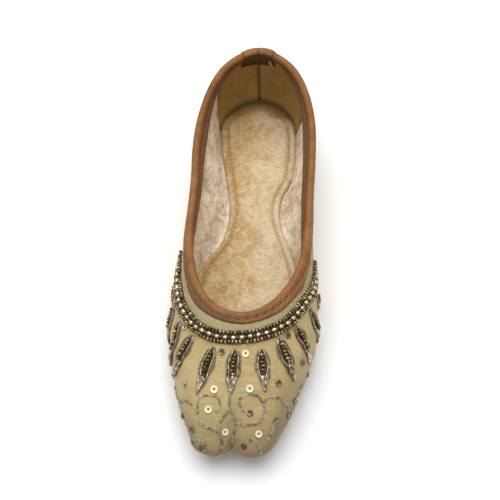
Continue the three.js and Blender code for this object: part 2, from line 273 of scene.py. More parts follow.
class Lines:
    """Section lines of the last, each a smooth curve from lower edge to collar."""

    def __init__(self, side, at, round_foot=True):
        rings = [ring_points(name, side, at) for name in RINGS]
        self.curves = smooth_curves(np.stack(rings, axis=1))
        self.runs = np.stack([run_length(c) for c in self.curves])
        self.length = self.runs[:, -1]
        self.round_foot = round_foot

    def face(self, shares):
        """Points and normals of the outer face; shares is (rows) or (rows, lines)."""
        shares = np.asarray(shares, float)
        if shares.ndim == 1:
            shares = np.repeat(shares[:, None], len(self.curves), axis=1)
        places = shares * self.length
        grid = np.empty(shares.shape + (3,))
        for c, (curve, run) in enumerate(zip(self.curves, self.runs)):
            for k in range(3):
                grid[:, c, k] = np.interp(places[:, c], run, curve[:, k])
        dent = grid_normals(grid, self.round_foot)
        dent[..., 2] = np.maximum(0, dent[..., 2]) * CLEFT["slope"]
        grid = grid - unit(dent) * cleft_depth(grid)[..., None]
        return grid, grid_normals(grid, self.round_foot)

    def below_edge(self, downs):
        """Shares of the points these distances below the collar edge; downs is (rows) or (rows, lines)."""
        downs = np.array(downs, float)
        return 1 - (downs[:, None] if downs.ndim == 1 else downs) / self.length

    def at_height(self, heights):
        """Share of each line where it reaches a height."""
        heights = np.broadcast_to(heights, len(self.curves))
        return np.array([
            np.interp(h, curve[:, 2], run) / run[-1]
            for h, curve, run in zip(heights, self.curves, self.runs)
        ])


def cad_shift():
    """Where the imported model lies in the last's own frame, from the upper's box."""
    lines = Lines(*foot_lines(CAD_SIDE_LINES))
    points, _ = lines.face((np.arange(CAD_ROWS + 1) / CAD_ROWS) ** ROW_GRADING)
    packed = (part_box("upper")[0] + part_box("upper")[1]) / 2
    own = (points.min(axis=(0, 1)) + points.max(axis=(0, 1))) / 2
    return np.array([packed.x - own[0] * MM, packed.y - own[1] * MM, 0])


SHIFT = cad_shift()
foot = Lines(*foot_lines(SIDE_LINES))
lower_edge, lower_out = (rows[0] for rows in foot.face([0, 0.02]))
lower_out = level(lower_out)
collar_edge = foot.face([0.98, 1.0])[0][1]

# ---- Mesh building ------------------------------------------------------------------------------


def new_object(name, points, faces, material, tone=None, weld=False):
    """One object from points in millimetres. tone is each point's shade in its material: from 0 to 1
    it darkens; velvet also knows below 0, lighter, and up to 2, darker still."""
    mesh = bpy.data.meshes.new(name)
    places = np.asarray(points, float).reshape(-1, 3) * MM + SHIFT
    mesh.from_pydata(places.tolist(), [], faces.tolist() if isinstance(faces, np.ndarray) else faces)
    if tone is not None:
        shade = mesh.attributes.new("tone", "FLOAT", "POINT")
        shade.data.foreach_set("value", np.asarray(tone, np.float32).ravel())
    if weld:
        work = bmesh.new()
        work.from_mesh(mesh)
        bmesh.ops.remove_doubles(work, verts=work.verts, dist=2e-6)
        bmesh.ops.dissolve_degenerate(work, edges=work.edges, dist=1e-6)
        work.to_mesh(mesh)
        work.free()
    mesh.polygons.foreach_set("use_smooth", [True] * len(mesh.polygons))
    mesh.materials.append(material)
    piece = bpy.data.objects.new(name, mesh)
    bpy.context.scene.collection.objects.link(piece)
    return piece


def finished(piece, slot, *nodes):
    """What every piece needs: it rides on the one body and may stand for CAD nodes; slot is not used."""
    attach(piece, "root")
    if nodes:
        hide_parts(*nodes)
    return piece


def grid_faces(rows, columns, join_rows=False):
    """Quads of a grid of points, each row closed round; join_rows joins the last row to the first."""
    r = np.arange(rows if join_rows else rows - 1)[:, None]
    c = np.arange(columns)[None, :]
    up, on = (r + 1) % rows, (c + 1) % columns
    quads = [r * columns + c, r * columns + on, up * columns + on, up * columns + c]
    return np.stack(np.broadcast_arrays(*quads), axis=-1).reshape(-1, 4)


def skin(name, loops, material, tone=None, ends=False):
    """A closed skin of loops that come back to the first one, or, with ends, shrink to a line."""
    loops = np.asarray(loops)
    faces = grid_faces(len(loops), loops.shape[1], join_rows=not ends)
    return new_object(name, loops, faces, material, tone, weld=ends)


def strap(name, chains, material, tone):
    """A strip with thickness and two ends: chains (sections, points, 3), each a closed outline."""
    sections, count = chains.shape[:2]
    faces = grid_faces(sections, count)[:, ::-1].tolist()
    faces.append(list(range(count)))
    faces.append([(sections - 1) * count + k for k in reversed(range(count))])
    return new_object(name, chains, faces, material, tone)


def rows_of(levels):
    """Loops and shades for a skin, from (outline, heights, shade) of each level."""
    loops = [np.column_stack([row[:, :2], np.broadcast_to(z, len(row))]) for row, z, _ in levels]
    return np.array(loops), np.array([np.full(len(row), float(shade)) for row, _, shade in levels])


def copies(name, form, places, material, tone=None):
    """One object of many copies of a form (points, faces). Each place is (origin, axes, scale)."""
    points, faces = form
    axes = np.stack([p[1] for p in places])
    scales = np.stack([np.broadcast_to(p[2], 3) for p in places])
    origins = np.stack([p[0] for p in places])
    local = points[None] * scales[:, None, :]
    placed = np.einsum("npk,nkj->npj", local, axes) + origins[:, None, :]
    count = len(points)
    every = (faces[None] + (np.arange(len(places)) * count)[:, None, None]).reshape(-1, 4)
    shades = None if tone is None else np.repeat(tone, count)
    return new_object(name, placed, every, material, shades)


def joined(forms):
    """Several (points, faces) as one."""
    starts = np.cumsum([0] + [len(points) for points, _ in forms])
    faces = [f + start for (_, f), start in zip(forms, starts)]
    return np.concatenate([points for points, _ in forms]), np.concatenate(faces)


def circle(steps):
    return 2 * np.pi * np.arange(steps) / steps


def turned(profile, steps):
    """A form turned about its X axis: profile is a closed list of (x, radius), radius above 0."""
    xs, radii = np.array(profile, float).T
    ring = np.stack([np.zeros(steps), np.cos(circle(steps)), np.sin(circle(steps))], axis=1)
    points = radii[:, None, None] * ring[None] + xs[:, None, None] * np.array([1, 0, 0])
    return points.reshape(-1, 3), grid_faces(len(profile), steps, join_rows=True)


def upright(form):
    """A turned form with its axis along Z."""
    return form[0][:, [1, 2, 0]], form[1]


def ring_profile(major, minor, long, sides):
    """Profile of a ring whose section is an ellipse: minor across, long along the axis."""
    return [(long * math.sin(a), major + minor * math.cos(a)) for a in circle(sides)]


TUBE_SIDES = 8


def tube(points, radii, normals, flat=1.0):
    """A closed tube along a polyline; flat squeezes it towards the surface that it lies on."""
    along = unit(np.gradient(points, axis=0))
    across = unit(np.cross(normals, along))
    lift = np.cross(along, across) * flat
    turns = circle(TUBE_SIDES)[None, :, None]
    radii = np.broadcast_to(radii, len(points))[:, None, None]
    loops = points[:, None] + (np.cos(turns) * across[:, None] + np.sin(turns) * lift[:, None]) * radii
    first = np.array([[0, k, k + 1, k + 2] for k in range(1, TUBE_SIDES - 2, 2)])
    last = first[:, ::-1] + (len(points) - 1) * TUBE_SIDES
    return loops.reshape(-1, 3), np.concatenate([grid_faces(len(points), TUBE_SIDES)[:, ::-1], first, last])


def frames_along(points, normals, pitch, start=0.0):
    """Places every pitch along a polyline: origin and axes (along, across, outward)."""
    normals = np.broadcast_to(normals, points.shape)
    places = np.arange(start, run_length(points)[-1], pitch)
    origins = resample(points, places)
    outward = unit(resample(np.concatenate([points, normals], axis=1), places)[:, 3:])
    ahead = unit(resample(points, places + pitch * 0.3) - resample(points, places - pitch * 0.3))
    across = unit(np.cross(outward, ahead))
    ahead = np.cross(across, outward)
    return list(zip(origins, np.stack([ahead, across, outward], axis=1)))


def tilted(axes, rng, most):
    """Axes turned a little at random."""
    yaw = Matrix.Rotation(rng.uniform(-most, most), 3, "Z")
    lean = Matrix.Rotation(rng.uniform(-most, most), 3, "Y")
    return np.array(yaw @ lean) @ axes


# A short plump stitch lying along X.
STITCH = turned([(-1, 0.072), (-0.7, 0.192), (0, 0.24), (0.7, 0.192), (1, 0.072), (0, 0.036)], 6)
UP, DOWN = (0, 0, 1), (0, 0, -1)

# ---- Materials ----------------------------------------------------------------------------------


class Finish:
    """A Principled material and the nodes that feed it, in the object's own coordinates."""

    def __init__(self, name, roughness, metallic=0.0, specular=0.5, sheen=0.0, sheen_tint=(1, 1, 1)):
        self.material = bpy.data.materials.new(name)
        self.material.use_nodes = True
        self.tree = self.material.node_tree
        self.shader = self.tree.nodes["Principled BSDF"]
        for socket, value in (
            ("Roughness", roughness), ("Metallic", metallic), ("Specular IOR Level", specular),
            ("Sheen Weight", sheen), ("Sheen Roughness", 0.4), ("Sheen Tint", (*sheen_tint, 1)),
        ):
            self.shader.inputs[socket].default_value = value
        self.places = self.node("ShaderNodeTexCoord").outputs["Object"]
        self.colour = None
        self.relief = None

    def link(self, source, target):
        self.tree.links.new(source, target)

    def node(self, kind, **inputs):
        """A node of this kind; inputs are sockets to link or values to set."""
        node = self.tree.nodes.new(kind)
        for name, value in inputs.items():
            socket = node.inputs[name.replace("_", " ")]
            if isinstance(value, bpy.types.NodeSocket):
                self.link(value, socket)
            else:
                socket.default_value = value
        return node

    def noise(self, size, detail=3.0, stretch=(1, 1, 1), distortion=0.0):
        """Noise with features about size millimetres across."""
        places = self.node("ShaderNodeMapping", Vector=self.places, Scale=stretch).outputs["Vector"]
        settings = {"Scale": 1 / (size * MM), "Detail": detail, "Distortion": distortion}
        return self.node("ShaderNodeTexNoise", Vector=places, **settings).outputs["Fac"]

    def cells(self, size):
        node = self.node("ShaderNodeTexVoronoi", Vector=self.places, Scale=1 / (size * MM))
        return node.outputs["Distance"]

    def threads(self, size, direction):
        """Parallel threads, size millimetres apart."""
        settings = {"Scale": math.pi / (10 * size * MM), "Distortion": 1.6, "Detail": 2, "Detail_Scale": 3}
        node = self.node("ShaderNodeTexWave", Vector=self.places, **settings)
        node.bands_direction = direction
        return node.outputs["Fac"]

    def tone(self):
        node = self.node("ShaderNodeAttribute")
        node.attribute_name = "tone"
        return node.outputs["Fac"]

    def spread(self, source, low, high, start=0.0, end=1.0):
        """A source's values between low and high, spread from start to end."""
        ends = {"From_Min": low, "From_Max": high, "To_Min": start, "To_Max": end}
        return self.node("ShaderNodeMapRange", Value=source, **ends).outputs["Result"]

    def math(self, kind, a, b):
        """Socket a with b, a socket or a number."""
        node = self.node("ShaderNodeMath")
        node.operation = kind
        self.link(a, node.inputs[0])
        if isinstance(b, bpy.types.NodeSocket):
            self.link(b, node.inputs[1])
        else:
            node.inputs[1].default_value = b
        return node.outputs["Value"]

    def blend(self, amount, colour, under=None):
        """Mixes a colour by amount, a socket, over another colour or over all that came before."""
        node = self.node("ShaderNodeMix")
        node.data_type = "RGBA"
        below, above = (s for s in node.inputs if s.name in ("A", "B") and s.type == "RGBA")
        if under:
            below.default_value = (*under, 1)
        else:
            self.link(self.colour, below)
        above.default_value = (*colour, 1)
        self.link(amount, node.inputs["Factor"])
        self.colour = next(s for s in node.outputs if s.type == "RGBA")
        self.link(self.colour, self.shader.inputs["Base Color"])

    def layer(self, source, low, high, strength, colour):
        """Mixes a colour over the rest where a source goes from low to high."""
        self.blend(self.math("MULTIPLY", self.spread(source, low, high), strength), colour)

    def shade(self, strength, colour):
        """Mixes a colour over the rest by the mesh's own tone."""
        self.blend(self.math("MULTIPLY", self.tone(), strength), colour)

    def rough(self, source, low, high):
        self.link(self.spread(source, 0, 1, low, high), self.shader.inputs["Roughness"])

    def bump(self, source, depth):
        """Adds relief, depth millimetres from low to high."""
        node = self.node("ShaderNodeBump", Distance=depth * MM, Height=source)
        if self.relief is not None:
            self.link(self.relief, node.inputs["Normal"])
        self.relief = node.outputs["Normal"]
        self.link(self.relief, self.shader.inputs["Normal"])


def raw_silk():
    f = Finish("raw_silk", 0.58, specular=0.35, sheen=0.12, sheen_tint=(1, 0.93, 0.75))
    cloud = f.spread(f.noise(26, 3, distortion=0.6), 0.35, 0.68)
    slub = f.noise(1.4, 3, stretch=(0.18, 1, 1))
    f.blend(cloud, (0.45, 0.33, 0.13), under=(0.54, 0.405, 0.172))
    f.blend(f.spread(slub, 0.42, 0.72), (0.60, 0.47, 0.25))
    f.layer(f.noise(0.55, 2), 0.3, 0.75, 0.40, (0.33, 0.24, 0.10))
    f.layer(f.noise(1.5, 4), 0.50, 0.70, 0.42, (0.34, 0.25, 0.11))
    # The mesh's tone: darker low down, and painted shade and shadow towards the toe.
    f.shade(0.8, (0.175, 0.125, 0.07))
    f.rough(cloud, 0.5, 0.66)
    f.bump(slub, 0.10)
    f.bump(f.threads(0.34, "Y"), 0.022)
    f.bump(f.threads(0.30, "X"), 0.012)
    f.bump(f.noise(0.5, 2), 0.05)
    return f.material


# Swept velvet gets a painted sheen: bright where x plus SWAY times a noise, in metres, rises through SWEEP.
SWEEP = (0.023, 0.038)
SWAY = 0.06


def crushed_velvet(name, light, middle, dark, flecks, swept=False):
    """Velvet whose crushed pile gets a painted sheen in bright and dull patches; swept, the painted sheen is
    bright on the lateral side.
    """
    f = Finish(name, 0.62, specular=0.3, sheen=0.3, sheen_tint=(1, 0.94, 0.82))
    lie = f.noise(24, 2, distortion=1.3)
    if swept:
        x = f.node("ShaderNodeSeparateXYZ", Vector=f.places).outputs["X"]
        bright = f.spread(f.math("ADD", x, f.math("MULTIPLY", lie, SWAY)), *SWEEP)
    else:
        bright = f.spread(lie, 0.40, 0.60)
    crush = f.noise(8.5, 5, stretch=(1, 0.7, 0.8), distortion=1.0)
    fleck = f.noise(2.6, 5, stretch=(1, 0.6, 0.8), distortion=0.6)
    pile = f.noise(1.1, 4, stretch=(0.45, 1, 1), distortion=0.5)
    # Painted sheen: light where the pile lies the bright way.
    f.blend(bright, light, under=middle)
    # The crush and its flecks: painted sheen where light, painted shade where dark; the fine pile is grain.
    f.layer(crush, 0.48, 0.66, 0.8 * flecks, dark)
    f.layer(crush, 0.50, 0.34, 0.6, light)
    f.layer(fleck, 0.50, 0.70, 0.8 * flecks, dark)
    f.layer(fleck, 0.47, 0.34, 0.5, light)
    f.layer(pile, 0.50, 0.72, 0.5, dark)
    f.layer(pile, 0.50, 0.30, 0.5, light)
    # The mesh's tone: below 0 a painted highlight, above 0 painted shade, and from 1 to 2 darker still for
    # the painted shadow round the heel.
    f.blend(f.spread(f.tone(), 0, -1), light)
    f.shade(0.85, dark)
    f.blend(f.spread(f.tone(), 1, 2), tuple(0.4 * c for c in dark))
    f.rough(crush, 0.42, 0.8)
    f.bump(crush, 0.7)
    f.bump(fleck, 0.35)
    f.bump(pile, 0.2)
    return f.material


def smooth_leather(name, light, dark, shade, roughness):
    f = Finish(name, roughness, specular=0.2)
    cloud = f.spread(f.noise(9, 4, distortion=0.8), 0.35, 0.68)
    f.blend(cloud, dark, under=light)
    f.layer(f.noise(2.2, 3, stretch=(1, 0.3, 1)), 0.52, 0.75, 0.4, dark)
    # The mesh's tone: darker seams and joints, and painted shade inside the shoe and in the binding's
    # grooves.
    f.shade(1, shade)
    f.rough(cloud, roughness - 0.08, roughness + 0.12)
    f.bump(f.cells(0.5), 0.05)
    f.bump(f.noise(2.5, 3), 0.08)
    return f.material


def sole_leather():
    f = Finish("sole_leather", 0.62, specular=0.35)
    cloud = f.spread(f.noise(18, 5, distortion=0.5), 0.3, 0.7)
    scuff = f.spread(f.noise(1.6, 4, stretch=(1, 0.12, 1)), 0.6, 0.8)
    f.blend(cloud, (0.30, 0.165, 0.08), under=(0.42, 0.25, 0.125))
    f.blend(f.math("MULTIPLY", scuff, 0.5), (0.52, 0.37, 0.22))
    f.shade(0.8, (0.12, 0.065, 0.035))
    f.rough(cloud, 0.5, 0.75)
    f.bump(f.cells(0.45), 0.06)
    f.bump(scuff, 0.08)
    return f.material


def metal(name, light, dark, roughness, spot, metallic=0.92):
    """Metal with patches of tarnish, spot millimetres across."""
    f = Finish(name, roughness, metallic=metallic)
    patch = f.spread(f.noise(spot, 3), 0.35, 0.68)
    f.blend(patch, dark, under=light)
    f.shade(1, dark)
    f.rough(patch, roughness - 0.06, roughness + 0.12)
    f.bump(f.noise(0.3, 2), 0.02)
    return f.material


def thread(name, light, dark, pitch=0.3):
    f = Finish(name, 0.6, specular=0.3, sheen=0.2)
    twist = f.noise(pitch, 2, stretch=(1, 1, 0.4))
    f.blend(f.spread(twist, 0.35, 0.65), dark, under=light)
    f.shade(0.8, dark)
    f.rough(twist, 0.45, 0.75)
    f.bump(twist, 0.06)
    return f.material


SILK = raw_silk()
SOCK_VELVET = crushed_velvet(
    "sock_velvet", (0.63, 0.495, 0.315), (0.475, 0.30, 0.112), (0.29, 0.165, 0.045), 0.34, swept=True)
SIDE_VELVET = crushed_velvet("side_velvet", (0.98, 0.86, 0.70), (0.76, 0.60, 0.40), (0.28, 0.175, 0.08), 0.6)
BINDING = smooth_leather(
    "binding_leather", (0.275, 0.119, 0.034), (0.198, 0.083, 0.023), (0.13, 0.07, 0.038), 0.48)
# Its shade colour is the painted shade over the tab's inner part.
TAB = smooth_leather("tab_leather", (0.30, 0.130, 0.038), (0.215, 0.090, 0.026), (0.09, 0.042, 0.012), 0.48)
GRIP = smooth_leather("grip_leather", (0.42, 0.25, 0.075), (0.33, 0.19, 0.055), (0.08, 0.045, 0.012), 0.46)
SOLE = sole_leather()
HEEL = smooth_leather("heel_leather", (0.27, 0.145, 0.07), (0.16, 0.08, 0.04), (0.06, 0.03, 0.018), 0.5)
GOLD = metal("antique_gold", (0.74, 0.55, 0.25), (0.07, 0.046, 0.017), 0.24, 1.6)
SILVER = metal("pale_silver", (0.76, 0.69, 0.55), (0.38, 0.30, 0.19), 0.28, 1.2)
WIRE = metal("bullion_silver", (0.84, 0.74, 0.59), (0.20, 0.14, 0.085), 0.30, 2.2)
TAUPE = metal("bullion_taupe", (0.42, 0.32, 0.225), (0.09, 0.06, 0.038), 0.36, 2.0)
SEQUIN = metal("gilt_sequin", (1.0, 0.90, 0.60), (0.92, 0.76, 0.42), 0.35, 2, 0.25)
DULL_SEQUIN = metal("dull_sequin", (0.36, 0.27, 0.14), (0.055, 0.035, 0.012), 0.34, 1.3, 0.75)
ZARI = metal("zari_thread", (0.84, 0.82, 0.68), (0.25, 0.225, 0.14), 0.42, 0.9)
SAGE = thread("sage_braid", (0.42, 0.36, 0.20), (0.31, 0.26, 0.13), 0.6)
# A dark ground under the beadwork and the leaves: painted shade in the gaps between beads and strands.
SHADE_GROUND = thread("painted_shade_ground", (0.11, 0.08, 0.038), (0.045, 0.03, 0.013))
PALE_THREAD = thread("pale_thread", (0.72, 0.62, 0.43), (0.50, 0.40, 0.24))
BROWN_THREAD = thread("brown_thread", (0.24, 0.12, 0.05), (0.12, 0.055, 0.025))

# ---- The silk cover -----------------------------------------------------------------------------

COVER_ROWS = 46
COVER_GRADING = 1.25           # above 1 the rows lie closer together at the lower edge

# Soft troughs and ridges of the cover: from, to, width, and depth (a ridge's is negative).
CREASES = [
    ((0.6, -103, 30), (0.6, -122, 17), 1.7, 0.5),
    ((-5, -116, 24), (-5.5, -125, 14), 1.4, 0.45),
    ((-0.5, -117, 22), (-0.3, -122, 14), 1.3, 0.3),
    ((-42, -60, 14), (-30, -67, 33), 3.0, 0.55),
    ((-41, -68, 14), (-31, -74, 31), 3.0, -0.45),
    ((-37, -84, 14), (-27, -88, 29), 3.5, 0.4),
    ((43, -56, 15), (33, -63, 34), 3.0, 0.55),
    ((42, -64, 15), (33, -71, 32), 3.0, -0.45),
    ((36, -86, 14), (27, -91, 28), 3.5, 0.4),
    ((-24, 44, 10), (-33, 26, 34), 5.0, 0.7),
    ((-25, 30, 10), (-33, 12, 33), 4.5, -0.5),
    ((27, 40, 10), (35, 24, 34), 5.0, 0.6),
    ((29, 26, 10), (36, 8, 33), 4.5, -0.5),
    ((-27, 97, 14), (-31, 82, 34), 4.0, 0.5),
    ((27, 97, 14), (32, 80, 34), 4.0, 0.5),
]
SILK_SWELL = (0.22, 17, 0)     # height, size and seed of its waves, as in every table for lumps
PLEAT_PITCH = 5.2              # lasting pleats round the toe's lower edge
PLEAT_DEEP = 0.3
PLEAT_TOE = (-82, -104)        # they grow from the first y to the second
PLEAT_TALL = (0.04, 0.2)       # and fade between these shares of the height
EDGE_CALM = (2, 14)            # distances below the collar edge over which waves and creases come in


def segment_distance(p, start, end):
    """How far points lie from the straight line between two others."""
    start, span = np.array(start, float), np.subtract(end, start)
    share = np.clip((p - start) @ span / (span @ span), 0, 1)
    return np.linalg.norm(p - start - share[..., None] * span, axis=-1)


def cover_relief(p, shares, below):
    """How far the silk stands out of the last's own face."""
    calm = smoothstep(*EDGE_CALM, below)
    out = lumps(p, SILK_SWELL) * calm
    for start, end, width, deep in CREASES:
        out -= deep * hump(segment_distance(p, start, end), width) * calm
    pleats = np.abs(np.sin(np.pi * run_length(p[0]) / PLEAT_PITCH)) ** 0.5
    where = smoothstep(*PLEAT_TOE, p[..., 1]) * (1 - smoothstep(*PLEAT_TALL, shares))
    return out - PLEAT_DEEP * (1 - pleats)[None] * where


def painted_cover_shade(points, normals):
    """Darker low down; painted shade towards the toe's tip, where steep and in the cleft; a painted shadow on
    the toe's lateral side.
    """
    x, y, z = np.moveaxis(points, -1, 0)
    slope = normals[..., 2]
    low = 0.55 * (1 - smoothstep(0, 13, z - sole_top(y)))
    # Painted shade towards the tip, on steep parts of the toe and in the cleft.
    tip = 0.45 * smoothstep(-100, -122, y)
    sides = 0.45 * smoothstep(0.75, 0.1, slope) * smoothstep(-40, -80, y)
    toe_sides = 0.45 * smoothstep(0.85, 0.25, slope) * smoothstep(-88, -118, y)
    # Painted shadow over the toe's lateral side.
    lateral = 0.5 * smoothstep(6, 32, x) * smoothstep(-60, -112, y)
    cleft = 0.5 * hump(x - CLEFT["x"], 3) * smoothstep(-112, -121, y)
    return np.minimum(low + tip + sides + toe_sides + lateral + cleft, 1)


def silk_cover():
    """Silk and leather of the upper. Gives back the tree that all embroidery is seated on."""
    shares = (np.arange(COVER_ROWS + 1) / COVER_ROWS) ** COVER_GRADING
    points, normals = foot.face(shares)
    shares = np.broadcast_to(shares[:, None], points.shape[:2])
    points = points + normals * cover_relief(points, shares, (1 - shares) * foot.length)[..., None]
    points[0, :, 2] = floor_height(points[0, :, 1])
    normals = grid_normals(points)
    back = normals.copy()
    back[0] = level(back[0])
    inner = points - back * COVER
    # Painted shade on the silk, and darker low down.
    silk_painted_shade = painted_cover_shade(points, normals)
    loops, tone = np.concatenate([points, inner[::-1]]), np.concatenate([silk_painted_shade, silk_painted_shade[::-1]])
    finished(skin("silk_cover", loops, SILK, tone), "upper_silk", "upper")
    faces = grid_faces(*points.shape[:2]).tolist()
    return BVHTree.FromPolygons([Vector(p) for p in points.reshape(-1, 3)], faces)


cover_tree = silk_cover()


def seat(points):
    """The nearest points of the silk, with their normals."""
    hits = [cover_tree.find_nearest(Vector(p)) for p in points]
    return np.array([h[0] for h in hits]), np.array([h[1] for h in hits])


def seat_below(x, y):
    """The silk's point at x, y, seen from above, with its normal."""
    point, normal, _, _ = cover_tree.ray_cast(Vector((x, y, 100)), Vector(DOWN))
    return np.array(point), np.array(normal)


# ---- Lining, sock and heel grip -----------------------------------------------------------------

FLOOR_PILE = 1.1               # thickness of the velvet on the sole beside the sock
FILLET = 4.5                   # reach of the lining's bend between wall and sole
HEEL_FILLET = 1.0              # and at the heel
HEEL_FROM = (80, 96)           # y where the one turns into the other
LINING_ROWS = 26
LINING_RIPPLES = ((0.18, 3.2, 5), (0.28, 11, 9))
FLOOR_RIPPLE = (0.16, 3.0, 3)
FLOOR_TUCK = 0.45              # the velvet dips this far under the sock's edge
SOCK_LIMIT = 0.5               # the sock stays this far from the wall
SOCK_LIFT = 4.0                # height of the sock's edge
SOCK_HIGH = 4.3                # height of its face inside the seam
MIDDLE_RISE = 0.5              # and how much more along its middle
BORDER = 4.3                   # width of the sock's sewn border along its sides
HEEL_BORDER = 8.5              # and round the heel
BORDER_FROM = (92, 106)        # y where the one turns into the other
HEEL_SHADOW = 1.9               # painted shadow of the heel wall over the border round the heel
SHADOW_FROM = (86, 104)         # y over which it comes in
SHADOW_INWARD = (5, -6)         # and distance past the seam over which it fades
SEAM_DEEP = 1.9                # how far the stitching pulls the velvet down
QUILT = 3.0                    # pitch of the border's stitches
PUFF = 0.2                     # how far the velvet swells between them
SOCK_LUMPS = ((0.16, 2.6, 1), (0.22, 9, 2))

# Rows of the sock's face: shares of the border, distances past it, and shares of what is left.
BORDER_ROWS = (0, 0.12, 0.3, 0.5, 0.7, 0.88, 1.0)
SEAM_ROWS = (0.5, 1.1, 2.0, 3.2, 4.8)
MIDDLE_ROWS = (0.12, 0.25, 0.4, 0.55, 0.7, 0.85, 1.0)

# Half-widths of the sock's outer seam: y, medial, lateral.
SOCK_WIDTHS = [
    (113.8, 0, 0), (109, 14.5, 15.5), (100, 22, 23.5), (89, 23.6, 26.5), (72, 22, 28.5), (58, 18.8, 25),
    (44, 15.8, 18.6), (31, 13.6, 16.6), (20, 14.4, 18.8), (6, 19, 24.6), (-10, 28.6, 29.8),
    (-34, 33, 34), (-60, 33.5, 35), (-90, 28, 29), (-108, 18, 18), (-116.5, 0, 0),
]
SOCK_ENDS = (SOCK_WIDTHS[0][0], SOCK_WIDTHS[-1][0])

floor_edge = lower_edge - lower_out * WALL
floor_edge[:, 2] = floor_height(floor_edge[:, 1])


def wall_edge():
    """The lining's inner face at the height of the sock's edge."""
    share = foot.at_height(floor_edge[:, 2] + SOCK_LIFT)
    points, normals = foot.face([share, share + 0.02])
    return points[0] - level(normals[0]) * WALL


def sock_outline():
    """The sock's outer seam, one point for each section line."""
    side, at = foot_lines(SIDE_LINES)
    ys = SOCK_ENDS[0] + (SOCK_ENDS[1] - SOCK_ENDS[0]) * at
    table = np.array(SOCK_WIDTHS[::-1])
    widths = [spline(table[:, 0], table[:, i] ** 2)(ys) for i in (1, 2)]
    wide = np.sqrt(np.maximum(0, np.where(side < 0, widths[0], widths[1])))
    wide = np.minimum(wide, np.maximum(0, np.abs(wall_edge()[:, 0]) - SOCK_LIMIT))
    return np.stack([side * wide, ys, floor_height(ys)], axis=1)


sock_seam = sock_outline()


def velvet_lining():
    """Velvet down the walls, round a fillet and over the sole to the sock's seam."""
    height = floor_edge[:, 2] + FLOOR_PILE
    fillet = FILLET - (FILLET - HEEL_FILLET) * smoothstep(*HEEL_FROM, floor_edge[:, 1])
    start = foot.at_height(height + fillet)
    steps = np.linspace(0, 1, LINING_ROWS)[:, None]
    outer, normals = foot.face(start + (1 - start) * steps)
    calm = smoothstep(3, 8, (1 - start) * (1 - steps) * foot.length)
    front = outer - normals * (WALL + lumps(outer, *LINING_RIPPLES) * calm)[..., None]
    back = outer - normals * (COVER + 0.05)
    foot_of_wall = floor_edge.copy()
    foot_of_wall[:, 2] = height
    inward = sock_seam - foot_of_wall
    reach = np.linalg.norm(inward[:, :2], axis=1)
    landing = foot_of_wall + inward * (np.minimum(fillet, reach * 0.8) / reach)[:, None]
    landing[:, 2] = floor_height(landing[:, 1]) + FLOOR_PILE
    bend = [bent(front[0], foot_of_wall, landing, s) for s in (0.2, 0.4, 0.6, 0.8)]
    seam = sock_seam + (0, 0, FLOOR_PILE)
    floor = []
    for s in np.linspace(0, 1, 9):
        row = landing * (1 - s) + seam * s
        row[:, 2] += lumps(row, FLOOR_RIPPLE) * math.sin(math.pi * s) - FLOOR_TUCK * s ** 6
        floor.append(row)
    under = [row + (0, 0, 0.1) for row in (sock_seam, (sock_seam + floor_edge) / 2, floor_edge)]
    loops = np.array([*front[::-1], *bend, *floor, *under, *back])
    tone = np.zeros(loops.shape[:2])
    # Painted shade in the bend between the wall and the sole.
    tone[LINING_ROWS - 2:LINING_ROWS + len(bend)] = 0.2
    finished(skin("velvet_lining", loops[::-1], SIDE_VELVET, tone[::-1]), "lining_velvet")


def sock_rows():
    """The sock's upper face from its outer seam to its middle line, with painted shade, a painted highlight
    and a painted shadow.
    """
    ys = sock_seam[:, 1]
    level_y = np.clip(ys, SOCK_ENDS[1] + END_RADIUS, SOCK_ENDS[0] - END_RADIUS)
    middle = np.stack([np.full(len(ys), MIDDLE_X + 1.0), level_y, floor_height(level_y)], axis=1)
    inward = middle - sock_seam
    reach = np.linalg.norm(inward[:, :2], axis=1)
    border = np.minimum(BORDER + (HEEL_BORDER - BORDER) * smoothstep(*BORDER_FROM, ys), reach * 0.6)
    puff = PUFF * np.cos(2 * np.pi * run_length(closed(sock_seam))[:-1] / QUILT)
    # Painted shadow of the heel wall over the sock's heel end.
    heel_shadow = HEEL_SHADOW * smoothstep(*SHADOW_FROM, ys)
    rows, tones = [], []

    def add(share, high, tone, lively=1.0):
        row = sock_seam + inward * share[:, None]
        row[:, 2] = floor_height(row[:, 1]) + high
        row[:, 2] += lively * lumps(row, *SOCK_LUMPS)
        rows.append(row)
        shaded = heel_shadow * smoothstep(*SHADOW_INWARD, share * reach - border)
        tones.append(np.maximum(tone * (1 - np.minimum(shaded, 1)), shaded))

    # Painted shade in the seams' grooves, and a painted highlight, tone below 0, on the swell between them.
    for t in BORDER_ROWS:
        swell = math.sin(math.pi * t) ** 0.7
        high = SOCK_HIGH - SEAM_DEEP + (SEAM_DEEP - 0.25) * swell + puff * (1 - swell)
        add(border / reach * t, high - 0.5 * (t == 0), 1.0 if swell < 0.2 else -0.6 * swell, 0.9)
    # Painted shade fading away from the inner seam's groove.
    for d in SEAM_ROWS:
        lift = 1 - math.exp(-d / 0.9)
        last = np.minimum((border + d) / reach, 0.93)
        add(last, SOCK_HIGH - SEAM_DEEP + SEAM_DEEP * lift + puff * (1 - lift), 0.6 * (1 - lift), lift)
    for s in MIDDLE_ROWS:
        add(last + (1 - last) * s, SOCK_HIGH + MIDDLE_RISE * s, 0.0)
    return np.array(rows), np.array(tones)


